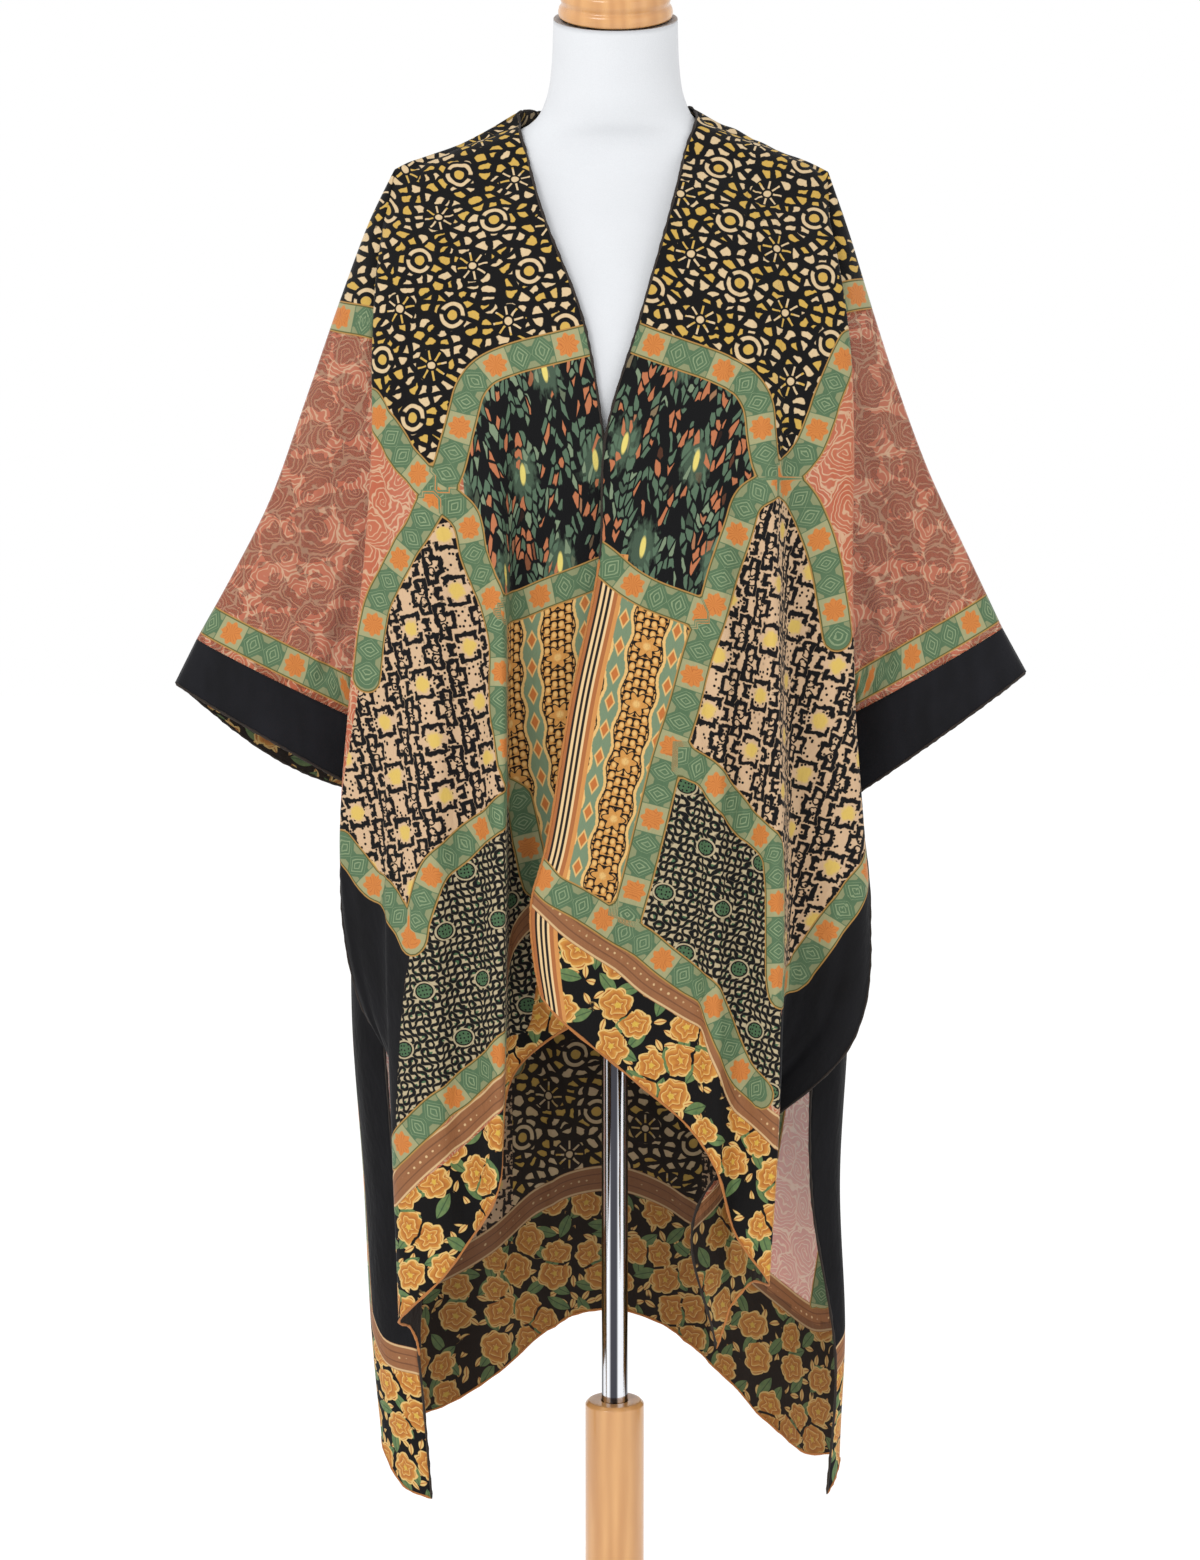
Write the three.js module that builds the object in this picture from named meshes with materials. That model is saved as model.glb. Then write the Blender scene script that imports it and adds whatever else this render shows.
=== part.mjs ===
// Kimono coat of burnt-out velvet on a linen dress form with a turned wooden stand.
// Millimetres, +Z up, floor at Z 0, pole on the Z axis, coat front towards -Y, +X to a viewer's right.
import * as THREE from "three";

const CLOTH = 2;
const SEAM_GAP = 0.62;
const FORM_CLEARANCE = 5;
const UNDERARM_SAG = 16;
const BASE_RADIUS = 205;
const BASE_HEIGHT = 26;
const POST_RADIUS = 27;
const POST_TOP = 352;
const POLE_RADIUS = 12;
const TORSO_BOTTOM = 800;
const NECK_TOP = 1592;
const SOCKET_RADIUS = 12.35;
const SOCKET_DEPTH = 60;
const FACE_GAP = 0.35;

// Sections of the torso, from its flat bottom to the neck; slope is the forward tilt of a section in degrees.
const TORSO = [
  { z: 800, half: 158, front: -104, back: 112, slope: 0 },
  { z: 850, half: 166, front: -110, back: 120, slope: 0 },
  { z: 920, half: 165, front: -110, back: 118, slope: 0 },
  { z: 1010, half: 145, front: -100, back: 98, slope: 0 },
  { z: 1100, half: 122, front: -92, back: 80, slope: 0 },
  { z: 1180, half: 132, front: -108, back: 84, slope: 0 },
  { z: 1255, half: 152, front: -124, back: 92, slope: 0 },
  { z: 1330, half: 166, front: -112, back: 98, slope: 0 },
  { z: 1395, half: 180, front: -84, back: 88, slope: 0 },
  { z: 1435, half: 186, front: -60, back: 64, slope: 0 },
  { z: 1458, half: 178, front: -46, back: 48, slope: 0 },
  { z: 1477, half: 140, front: -42, back: 42, slope: 2 },
  { z: 1492, half: 100, front: -44, back: 42, slope: 5 },
  { z: 1505, half: 73, front: -50, back: 42, slope: 9 },
  { z: 1524, half: 61, front: -54, back: 38, slope: 14 },
  { z: 1550, half: 56, front: -56, back: 34, slope: 19 },
  { z: 1592, half: 54, front: -62, back: 26, slope: 22 },
];

// Fold lines of the right front, from its front edge to its side edge. Each row is x, y, z of one
// station down the cloth: shoulder, chest, bust, waist, then towards the hem.
const RIGHT_FRONT = [
  {
    name: "front_edge",
    at: [
      [69, 0, 1517], [50, -76, 1434], [20, -121, 1328], [-9, -137, 1227], [-14, -141, 1126],
      [-38, -145, 1008], [-59, -149, 884], [-72, -151, 835], [-70, -152, 790], [-64, -152, 756],
    ],
  },
  {
    name: "edge_fold",
    at: [
      [80, 0, 1511], [64, -74, 1430], [38, -118, 1324], [14, -137, 1226], [4, -142, 1126],
      [-16, -147, 1008], [-36, -153, 884], [-46, -157, 826], [-51, -158, 780], [-51, -158, 740],
    ],
  },
  {
    name: "inner_hollow",
    at: [
      [93, 0, 1504], [84, -73, 1425], [60, -115, 1322], [42, -134, 1226], [37, -137, 1126],
      [29, -138, 1006], [21, -139, 884], [17, -139, 815], [16, -139, 745], [17, -139, 679],
    ],
  },
  {
    name: "middle",
    at: [
      [105, 0, 1500], [99, -72, 1420], [82, -112, 1320], [72, -131, 1226], [71, -134, 1126],
      [68, -135, 1006], [66, -136, 880], [65, -136, 800], [64, -136, 715], [64, -136, 637],
    ],
  },
  {
    name: "middle_fold",
    at: [
      [114, 0, 1495], [110, -71, 1416], [98, -110, 1320], [92, -131, 1226], [89, -137, 1126],
      [88, -143, 1006], [87, -148, 878], [86, -151, 790], [86, -152, 700], [86, -152, 605],
    ],
  },
  {
    name: "ridge_hollow",
    at: [
      [121, 0, 1491], [118, -70, 1412], [112, -108, 1320], [111, -127, 1226], [110, -131, 1126],
      [110, -133, 1006], [109, -135, 876], [109, -137, 780], [108, -138, 670], [104, -138, 544],
    ],
  },
  {
    name: "ridge",
    at: [
      [129, 0, 1488], [129, -69, 1408], [129, -104, 1319], [130, -128, 1226], [132, -144, 1126],
      [134, -153, 1006], [137, -157, 872], [138, -159, 770], [138, -160, 650], [131, -160, 509],
    ],
  },
  {
    name: "behind_ridge",
    at: [
      [145, 0, 1480], [149, -64, 1400], [149, -96, 1316], [149, -108, 1226], [149, -108, 1126],
      [152, -104, 1004], [156, -98, 862], [152, -93, 752], [128, -98, 636], [119, -98, 490],
    ],
  },
  {
    name: "side_fold",
    at: [
      [163, 0, 1474], [177, -56, 1394], [185, -84, 1312], [186, -98, 1226], [184, -102, 1126],
      [186, -104, 1004], [193, -101, 850], [181, -92, 735], [102, -74, 602], [104, -86, 468],
    ],
  },
  {
    name: "side_crest",
    at: [
      [175, 0, 1469], [191, -50, 1388], [201, -74, 1310], [204, -88, 1226], [203, -94, 1124],
      [206, -96, 1000], [215, -92, 836], [199, -92, 718], [80, -66, 574], [93, -80, 447],
    ],
  },
  {
    name: "side_edge",
    at: [
      [187, 0, 1463], [188, -37, 1384], [195, -54, 1305], [195, -62, 1220], [196, -64, 1118],
      [200, -58, 990], [223, -76, 822], [208, -84, 703], [61, -72, 552], [83, -76, 428],
    ],
  },
];

const LEFT_FRONT = [
  {
    name: "front_edge",
    at: [
      [-86, 0, 1514], [-64, -76, 1424], [-27, -120, 1324], [-10, -130, 1226], [5, -127, 1125],
      [21, -123, 1006], [33, -120, 896], [40, -119, 840], [44, -119, 800], [46, -119, 757],
    ],
  },
  {
    name: "edge_fold",
    at: [
      [-92, 0, 1508], [-74, -75, 1420], [-44, -117, 1322], [-28, -128, 1226], [-16, -126, 1125],
      [-6, -125, 1006], [0, -126, 890], [4, -128, 830], [6, -128, 790], [6, -128, 742],
    ],
  },
  {
    name: "inner_hollow",
    at: [
      [-100, 0, 1504], [-86, -74, 1416], [-64, -114, 1320], [-52, -125, 1226], [-46, -122, 1125],
      [-40, -118, 1006], [-37, -114, 885], [-36, -112, 825], [-36, -112, 780], [-36, -112, 724],
    ],
  },
  {
    name: "under_ridge",
    at: [
      [-110, 0, 1500], [-100, -73, 1412], [-86, -111, 1318], [-84, -121, 1226], [-84, -116, 1120],
      [-88, -108, 1006], [-89, -104, 876], [-89, -102, 800], [-89, -102, 740], [-90, -104, 676],
    ],
  },
  {
    name: "ridge",
    at: [
      [-120, 0, 1494], [-113, -72, 1406], [-106, -108, 1314], [-102, -128, 1226], [-98, -143, 1126],
      [-96, -153, 1006], [-96, -157, 870], [-97, -159, 775], [-98, -160, 685], [-101, -160, 587],
    ],
  },
  {
    name: "outer_hollow",
    at: [
      [-133, 0, 1488], [-132, -70, 1400], [-130, -106, 1310], [-129, -121, 1226], [-128, -128, 1125],
      [-127, -132, 1006], [-128, -134, 866], [-129, -136, 765], [-129, -137, 655], [-128, -137, 536],
    ],
  },
  {
    name: "soft_fold",
    at: [
      [-146, 0, 1483], [-152, -66, 1396], [-158, -100, 1308], [-158, -118, 1226], [-158, -129, 1125],
      [-158, -138, 1006], [-159, -144, 862], [-159, -147, 752], [-157, -148, 630], [-150, -148, 508],
    ],
  },
  {
    name: "outer_ridge",
    at: [
      [-158, 0, 1479], [-170, -61, 1394], [-180, -92, 1308], [-184, -107, 1226], [-186, -113, 1125],
      [-187, -118, 1004], [-188, -122, 860], [-190, -128, 740], [-191, -132, 600], [-188, -130, 466],
    ],
  },
  {
    name: "turn",
    at: [
      [-170, 0, 1475], [-188, -55, 1392], [-196, -84, 1308], [-198, -98, 1226], [-200, -103, 1125],
      [-206, -107, 1004], [-206, -106, 858], [-200, -106, 728], [-186, -97, 625], [-181, -98, 450],
    ],
  },
  {
    name: "side_crest",
    at: [
      [-182, 0, 1471], [-204, -46, 1388], [-209, -74, 1308], [-209, -89, 1226], [-216, -94, 1124],
      [-230, -96, 1002], [-238, -90, 860], [-217, -91, 732], [-180, -80, 640], [-176, -86, 434],
    ],
  },
  {
    name: "side_edge",
    at: [
      [-194, 0, 1465], [-206, -36, 1384], [-201, -54, 1305], [-199, -62, 1220], [-204, -64, 1118],
      [-212, -58, 990], [-240, -74, 858], [-224, -82, 738], [-175, -72, 650], [-174, -80, 419],
    ],
  },
];

// Fold lines of the back from the left side edge to the right one. The first four stations follow the
// shoulder blades, and the last ones turn forward at both sides as the low tails.
const BACK = [
  {
    name: "left_edge",
    at: [
      [-194, 0, 1465], [-208, 30, 1384], [-205, 44, 1305], [-204, 50, 1220], [-208, 52, 1118],
      [-214, 44, 990], [-222, 4, 850], [-208, -36, 710], [-196, -48, 560], [-176, -50, 400],
      [-166, -46, 275],
    ],
  },
  {
    name: "left_wrap",
    at: [
      [-184, 0, 1470], [-206, 44, 1384], [-210, 64, 1305], [-210, 72, 1220], [-215, 76, 1118],
      [-225, 66, 990], [-234, 26, 850], [-232, -18, 710], [-220, -26, 560], [-208, -32, 400],
      [-193, -28, 281],
    ],
  },
  {
    name: "left_side",
    at: [
      [-172, 0, 1474], [-196, 54, 1388], [-204, 82, 1308], [-206, 92, 1220], [-212, 94, 1118],
      [-224, 88, 990], [-238, 56, 850], [-238, 18, 710], [-228, 6, 560], [-222, 0, 420],
      [-214, -4, 318],
    ],
  },
  {
    name: "left_hollow",
    at: [
      [-158, 0, 1479], [-176, 60, 1396], [-184, 92, 1312], [-188, 104, 1222], [-196, 104, 1118],
      [-206, 100, 990], [-214, 84, 850], [-212, 58, 710], [-204, 44, 560], [-198, 38, 430],
      [-194, 36, 322],
    ],
  },
  {
    name: "left_blade",
    at: [
      [-138, 0, 1486], [-148, 64, 1404], [-156, 100, 1316], [-160, 116, 1224], [-166, 122, 1118],
      [-172, 126, 990], [-178, 124, 850], [-176, 104, 710], [-170, 88, 560], [-164, 78, 440],
      [-158, 72, 324],
    ],
  },
  {
    name: "left_fold",
    at: [
      [-112, 0, 1499], [-116, 66, 1414], [-122, 102, 1320], [-124, 114, 1224], [-126, 116, 1118],
      [-128, 118, 990], [-130, 118, 850], [-128, 102, 710], [-122, 90, 570], [-116, 86, 460],
      [-110, 88, 350],
    ],
  },
  {
    name: "left_neck",
    at: [
      [-86, 0, 1514], [-84, 69, 1430], [-84, 104, 1324], [-84, 120, 1226], [-84, 126, 1118],
      [-84, 130, 990], [-84, 132, 850], [-82, 124, 720], [-78, 116, 590], [-74, 112, 480],
      [-68, 112, 381],
    ],
  },
  {
    name: "neck_turn",
    at: [
      [-64, 38, 1519], [-52, 74, 1434], [-46, 104, 1326], [-44, 116, 1226], [-42, 118, 1118],
      [-42, 120, 990], [-42, 122, 850], [-42, 116, 720], [-42, 106, 600], [-40, 102, 500],
      [-38, 102, 398],
    ],
  },
  {
    name: "centre",
    at: [
      [-8, 48, 1506], [-8, 78, 1432], [-8, 108, 1328], [-8, 122, 1226], [-6, 128, 1118],
      [-4, 132, 990], [-2, 134, 850], [0, 128, 720], [2, 120, 610], [2, 116, 500],
      [2, 114, 403],
    ],
  },
  {
    name: "neck_turn_right",
    at: [
      [49, 38, 1519], [38, 74, 1434], [34, 104, 1326], [34, 115, 1226], [34, 116, 1118],
      [34, 118, 990], [36, 120, 850], [38, 114, 720], [40, 104, 600], [42, 100, 500],
      [44, 100, 390],
    ],
  },
  {
    name: "right_neck",
    at: [
      [69, 0, 1517], [72, 66, 1428], [74, 104, 1324], [76, 120, 1226], [78, 127, 1118],
      [80, 130, 990], [82, 132, 850], [82, 122, 720], [82, 114, 590], [82, 108, 480],
      [80, 106, 366],
    ],
  },
  {
    name: "right_fold",
    at: [
      [98, 0, 1501], [106, 66, 1414], [112, 100, 1320], [114, 112, 1224], [116, 114, 1118],
      [118, 116, 990], [120, 114, 850], [118, 98, 710], [116, 84, 570], [112, 78, 450],
      [109, 78, 339],
    ],
  },
  {
    name: "right_blade",
    at: [
      [124, 0, 1489], [138, 63, 1402], [146, 98, 1316], [150, 113, 1224], [156, 119, 1118],
      [162, 120, 990], [166, 114, 850], [162, 92, 710], [158, 76, 560], [154, 66, 430],
      [150, 60, 306],
    ],
  },
  {
    name: "right_hollow",
    at: [
      [148, 0, 1479], [166, 59, 1394], [176, 90, 1312], [180, 102, 1222], [186, 102, 1118],
      [192, 96, 990], [198, 78, 850], [194, 54, 710], [188, 40, 560], [184, 32, 420],
      [178, 28, 292],
    ],
  },
  {
    name: "right_side",
    at: [
      [166, 0, 1472], [187, 53, 1387], [196, 80, 1308], [198, 90, 1220], [202, 92, 1118],
      [208, 84, 990], [218, 50, 850], [212, 16, 700], [204, 4, 560], [208, -2, 420],
      [206, -4, 300],
    ],
  },
  {
    name: "right_wrap",
    at: [
      [177, 0, 1467], [189, 48, 1385], [201, 62, 1305], [202, 70, 1220], [205, 74, 1118],
      [209, 62, 990], [216, 24, 850], [204, -22, 700], [200, -26, 560], [209, -22, 420],
      [202, -16, 284],
    ],
  },
  {
    name: "right_edge",
    at: [
      [187, 0, 1463], [188, 32, 1384], [193, 44, 1305], [196, 48, 1220], [199, 50, 1118],
      [202, 42, 990], [205, 2, 850], [178, -36, 690], [176, -44, 560], [200, -34, 400],
      [194, -24, 271],
    ],
  },
];

// Sleeves: the fold along the top and the underarm line, both from the shoulder to the cuff seam, then half
// the room between the two layers at the middle of each rib, and how far the back layer hangs lower.
const LEFT_SLEEVE = {
  fold: [
    [-194, 0, 1465], [-216, 0, 1421], [-242, 0, 1354], [-274, 0, 1265],
    [-307, 0, 1176], [-341, 0, 1110], [-374, 0, 1052],
  ],
  under: [
    [-214, -4, 988], [-217, -6, 987], [-219, -8, 985], [-220, -10, 983],
    [-220, -12, 981], [-219, -13, 979], [-217, -14, 976],
  ],
  room: [58, 50, 42, 34, 28, 25, 23],
  cuffCorner: [-394, 0, 1013],
  cuffInner: [-214, -16, 912],
  backDrop: 20,
};

const RIGHT_SLEEVE = {
  fold: [
    [187, 0, 1463], [205, 0, 1413], [226, 0, 1347], [252, 0, 1270],
    [280, 0, 1198], [313, 0, 1130], [346, 0, 1062],
  ],
  under: [
    [203, -4, 992], [206, -6, 992], [208, -8, 991], [209, -10, 990],
    [209, -12, 988], [208, -13, 986], [206, -14, 984],
  ],
  room: [58, 50, 42, 34, 28, 25, 23],
  cuffCorner: [368, 0, 1023],
  cuffInner: [204, -16, 908],
  backDrop: 4,
};

// Turned profiles: radius and height, from the middle of the underside to the middle of the top.
const CAP_PROFILE = [
  [0, 0], [46, 0], [49.5, 2], [50, 6], [49, 10], [46.5, 12.5], [47.5, 15],
  [48.5, 18], [47, 24], [41, 29], [30, 33], [15, 35.5], [0, 36],
];
const POLE_FOOT = POST_TOP - SOCKET_DEPTH + 0.3;
const POLE_HEAD = TORSO_BOTTOM + SOCKET_DEPTH - 0.3;
const POLE_PROFILE = [[0, POLE_FOOT], [POLE_RADIUS, POLE_FOOT], [POLE_RADIUS, POLE_HEAD], [0, POLE_HEAD]];
const POST_PROFILE = [
  [0, BASE_HEIGHT + 0.3],
  [POST_RADIUS, BASE_HEIGHT + 0.3],
  [POST_RADIUS, POST_TOP - 3],
  [POST_RADIUS - 3, POST_TOP],
  [SOCKET_RADIUS, POST_TOP],
  [SOCKET_RADIUS, POST_TOP - SOCKET_DEPTH],
  [0, POST_TOP - SOCKET_DEPTH],
];
const BASE_PROFILE = [
  [0, 0],
  [BASE_RADIUS - 3, 0],
  [BASE_RADIUS, 3],
  [BASE_RADIUS, 14],
  [BASE_RADIUS - 3, 20],
  [BASE_RADIUS - 10, BASE_HEIGHT],
  [0, BASE_HEIGHT],
];

const SHOULDER_ROWS = 6;
const ROWS_PER_STATION = 2;
const COLUMNS_PER_FOLD = 2;
const ARMHOLE_STATIONS = 5;
const RIBS_PER_STATION = 1;
const GUSSET_POINTS = 3;
const armRows = SHOULDER_ROWS + (ARMHOLE_STATIONS - 1) * ROWS_PER_STATION;
const ringLength = 2 * armRows + 1 + GUSSET_POINTS;

const vec = (p) => new THREE.Vector3(p[0], p[1], p[2]);

// A smooth line through a table's points, sampled evenly between each two; the first span may be finer.
function line(points, perSpan, firstSpan = perSpan) {
  const stations = points.map((p) => (p.isVector3 ? p : vec(p)));
  const curve = new THREE.CatmullRomCurve3(stations, false, "centripetal");
  const spans = points.length - 1;
  const out = [];
  for (let span = 0; span < spans; span++) {
    const steps = span === 0 ? firstSpan : perSpan;
    for (let k = 0; k < steps; k++) {
      out.push(curve.getPoint((span + k / steps) / spans));
    }
  }
  out.push(curve.getPoint(1));
  return out;
}

function torsoSection(z) {
  const last = TORSO.length - 1;
  if (z <= TORSO[0].z) return TORSO[0];
  if (z >= TORSO[last].z) return TORSO[last];
  let i = 0;
  while (TORSO[i + 1].z < z) i++;
  const a = TORSO[Math.max(i - 1, 0)];
  const b = TORSO[i];
  const c = TORSO[i + 1];
  const d = TORSO[Math.min(i + 2, last)];
  const t = (z - b.z) / (c.z - b.z);
  const at = (key) => {
    const m0 = ((c[key] - a[key]) / (c.z - a.z)) * (c.z - b.z);
    const m1 = ((d[key] - b[key]) / (d.z - b.z)) * (c.z - b.z);
    const t2 = t * t;
    const t3 = t2 * t;
    const near = (2 * t3 - 3 * t2 + 1) * b[key] + (t3 - 2 * t2 + t) * m0;
    return near + (3 * t2 - 2 * t3) * c[key] + (t3 - t2) * m1;
  };
  return { z, half: at("half"), front: at("front"), back: at("back"), slope: at("slope") };
}

// Signed height over the torso, roughly in millimetres, and the way out of it.
function overTorso(p) {
  const f = (x, y, z) => {
    const level = torsoSection(z);
    const rise = (y - (level.back + level.front) / 2) * Math.tan(THREE.MathUtils.degToRad(level.slope));
    const s = torsoSection(z - rise);
    const depth = (s.back - s.front) / 2;
    const middle = (s.back + s.front) / 2;
    return Math.hypot(x / s.half, (y - middle) / depth) - 1;
  };
  const e = 0.5;
  const v = f(p.x, p.y, p.z);
  const g = new THREE.Vector3(
    f(p.x + e, p.y, p.z) - f(p.x - e, p.y, p.z),
    f(p.x, p.y + e, p.z) - f(p.x, p.y - e, p.z),
    f(p.x, p.y, p.z + e) - f(p.x, p.y, p.z - e),
  ).divideScalar(2 * e);
  const slope = Math.max(g.length(), 1e-4);
  return { height: v / slope, out: g.divideScalar(slope) };
}

// Lifts a point of the cloth off the torso where it lies on it.
function clearOfTorso(p, clearance) {
  for (let k = 0; k < 12; k++) {
    const { height, out } = overTorso(p);
    if (height >= clearance - 0.05 || height < -60) break;
    p.addScaledVector(out, (clearance - height) * 0.8);
  }
  return p;
}

// A panel's middle surface: rows run down the cloth and columns across its fold lines.
function panelGrid(folds) {
  const downs = folds.map((f) => line(f.at, ROWS_PER_STATION, SHOULDER_ROWS));
  const grid = downs[0].map((_, i) => line(downs.map((d) => d[i]), COLUMNS_PER_FOLD));
  const seam = grid[0].map((p) => p.y);
  for (const row of grid) {
    for (const p of row) clearOfTorso(p, FORM_CLEARANCE);
  }
  grid[0].forEach((p, j) => {
    p.y = seam[j];
  });
  return grid;
}

// Normals of a grid from its neighbours; a seam edge may look across the seam for its neighbour.
function gridNormals(grid, across = {}) {
  const rows = grid.length;
  const cols = grid[0].length;
  return grid.map((row, i) =>
    row.map((p, j) => {
      const west = j > 0 ? grid[i][j - 1] : (across.west && across.west(i)) || p;
      const east = j < cols - 1 ? grid[i][j + 1] : (across.east && across.east(i)) || p;
      const north = i > 0 ? grid[i - 1][j] : (across.north && across.north(j)) || p;
      const south = i < rows - 1 ? grid[i + 1][j] : p;
      const u = east.clone().sub(west);
      const v = south.clone().sub(north);
      return u.cross(v).normalize();
    }),
  );
}

// Two triangles for each four corners; side is -1 where the grid's normals face into the coat.
const quadMaker = (index, side) => (a, b, c, d) => {
  if (side > 0) index.push(a, b, c, a, c, d);
  else index.push(a, c, b, a, d, c);
};

// Closes a grid of middle points into a wall; side is 1 where the normals face out of the coat.
function wall(grid, normals, side) {
  const rows = grid.length;
  const cols = grid[0].length;
  const half = CLOTH / 2;
  const positions = [];
  for (const s of [side, -side]) {
    for (let i = 0; i < rows; i++) {
      for (let j = 0; j < cols; j++) {
        const q = grid[i][j].clone().addScaledVector(normals[i][j], s * half);
        positions.push(q.x, q.y, q.z);
      }
    }
  }
  const id = (k, i, j) => k * rows * cols + i * cols + j;
  const index = [];
  const quad = quadMaker(index, side);
  for (let i = 0; i + 1 < rows; i++) {
    for (let j = 0; j + 1 < cols; j++) {
      quad(id(0, i, j), id(0, i, j + 1), id(0, i + 1, j + 1), id(0, i + 1, j));
      quad(id(1, i, j), id(1, i + 1, j), id(1, i + 1, j + 1), id(1, i, j + 1));
    }
  }
  for (let j = 0; j + 1 < cols; j++) {
    quad(id(0, 0, j + 1), id(0, 0, j), id(1, 0, j), id(1, 0, j + 1));
    quad(id(0, rows - 1, j), id(0, rows - 1, j + 1), id(1, rows - 1, j + 1), id(1, rows - 1, j));
  }
  for (let i = 0; i + 1 < rows; i++) {
    quad(id(0, i, 0), id(0, i + 1, 0), id(1, i + 1, 0), id(1, i, 0));
    quad(id(0, i + 1, cols - 1), id(0, i, cols - 1), id(1, i, cols - 1), id(1, i + 1, cols - 1));
  }
  return solid(positions, index);
}

// A closed loop of points on each ring, made into a tube wall that is open at both ends.
function tubeWall(rings, normals, side) {
  const rows = rings.length;
  const cols = rings[0].length;
  const half = CLOTH / 2;
  const positions = [];
  for (const s of [side, -side]) {
    for (let i = 0; i < rows; i++) {
      for (let j = 0; j < cols; j++) {
        const q = rings[i][j].clone().addScaledVector(normals[i][j], s * half);
        positions.push(q.x, q.y, q.z);
      }
    }
  }
  const id = (k, i, j) => k * rows * cols + i * cols + (j % cols);
  const index = [];
  const quad = quadMaker(index, side);
  for (let j = 0; j < cols; j++) {
    for (let i = 0; i + 1 < rows; i++) {
      quad(id(0, i, j), id(0, i, j + 1), id(0, i + 1, j + 1), id(0, i + 1, j));
      quad(id(1, i, j), id(1, i + 1, j), id(1, i + 1, j + 1), id(1, i, j + 1));
    }
    quad(id(0, 0, j + 1), id(0, 0, j), id(1, 0, j), id(1, 0, j + 1));
    quad(id(0, rows - 1, j), id(0, rows - 1, j + 1), id(1, rows - 1, j + 1), id(1, rows - 1, j));
  }
  return solid(positions, index);
}

function solid(positions, index) {
  const g = new THREE.BufferGeometry();
  g.setAttribute("position", new THREE.Float32BufferAttribute(positions, 3));
  g.setIndex(index);
  g.computeVertexNormals();
  return g;
}

// Loop of one sleeve rib: down the front layer from the fold, round the underarm and back up behind.
function sleeveRib(top, bottom, room, drop) {
  const share = [];
  for (let k = 0; k <= armRows; k++) {
    share.push([(k / armRows) * 0.97, -1]);
  }
  for (let k = 1; k <= GUSSET_POINTS; k++) {
    const t = k / (GUSSET_POINTS + 1);
    share.push([0.97 + 0.03 * Math.sin(Math.PI * t), t < 0.5 ? -1 : 1]);
  }
  for (let k = armRows; k >= 1; k--) {
    share.push([(k / armRows) * 0.97, 1]);
  }
  return share.map(([s, layer]) => {
    const p = top.clone().lerp(bottom, s);
    const half = layer > 0 ? 0.85 * room : room;
    p.y += layer * half * Math.sqrt(Math.max(0, 4 * s * (1 - s)));
    if (layer > 0) p.z -= drop * Math.sin(Math.PI * s);
    return p;
  });
}

// The armhole ring: the body's own seam edges, with the underarm hanging between them.
function armholeRing(front, frontColumn, backColumn) {
  const ring = [];
  for (let i = 0; i <= armRows; i++) {
    ring.push(front[i][frontColumn].clone());
  }
  const a = front[armRows][frontColumn];
  const b = back[armRows][backColumn];
  for (let k = 1; k <= GUSSET_POINTS; k++) {
    const t = k / (GUSSET_POINTS + 1);
    const p = a.clone().lerp(b, t);
    p.z -= UNDERARM_SAG * Math.sin(Math.PI * t);
    ring.push(p);
  }
  for (let i = armRows; i >= 1; i--) {
    ring.push(back[i][backColumn].clone());
  }
  return ring;
}

function sleeveRings(spec, front, frontColumn, backColumn) {
  const folds = line(spec.fold, RIBS_PER_STATION);
  const unders = line(spec.under, RIBS_PER_STATION);
  const last = folds.length - 1;
  const rings = folds.map((f, r) => {
    const at = (r / last) * (spec.room.length - 1);
    const i = Math.min(Math.floor(at), spec.room.length - 2);
    const room = spec.room[i] + (spec.room[i + 1] - spec.room[i]) * (at - i);
    return sleeveRib(f, unders[r], room, (spec.backDrop * r) / last);
  });
  rings[0] = armholeRing(front, frontColumn, backColumn);
  return rings;
}

function cuffRings(spec, seam) {
  const room = spec.room[spec.room.length - 1] * 1.05;
  const end = sleeveRib(vec(spec.cuffCorner), vec(spec.cuffInner), room, spec.backDrop);
  return [0, 1].map((t) => seam.map((p, k) => p.clone().lerp(end[k], t)));
}

function ringNormals(rings, before, after) {
  const n = rings[0].length;
  return rings.map((ring, i) =>
    ring.map((p, k) => {
      const around = ring[(k + 1) % n].clone().sub(ring[(k + n - 1) % n]);
      const up = i > 0 ? rings[i - 1][k] : before[k];
      const down = i < rings.length - 1 ? rings[i + 1][k] : after ? after[k] : p;
      return around.cross(down.clone().sub(up)).normalize();
    }),
  );
}

// Moves the points of one edge apart from the seam line, along the cloth.
function easeSeam(points, inwards) {
  points.forEach((p, k) => p.addScaledVector(inwards[k].clone().sub(p).normalize(), SEAM_GAP / 2));
}

// A solid from rings that each run round an axis, closed at a first and a last middle point.
function ringsSolid(first, rings, last) {
  const n = rings[0].length;
  const positions = [...first];
  for (const ring of rings) {
    for (const p of ring) positions.push(...p);
  }
  positions.push(...last);
  const id = (i, j) => 1 + i * n + (j % n);
  const end = 1 + rings.length * n;
  const index = [];
  for (let j = 0; j < n; j++) {
    index.push(0, id(0, j + 1), id(0, j));
    for (let i = 0; i + 1 < rings.length; i++) {
      index.push(id(i, j), id(i, j + 1), id(i + 1, j + 1));
      index.push(id(i, j), id(i + 1, j + 1), id(i + 1, j));
    }
    index.push(id(rings.length - 1, j), id(rings.length - 1, j + 1), end);
  }
  return solid(positions, index);
}

const circle = (radius, z, n) =>
  Array.from({ length: n }, (_, j) => {
    const a = (2 * Math.PI * j) / n;
    return [radius * Math.cos(a), radius * Math.sin(a), z];
  });

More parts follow.
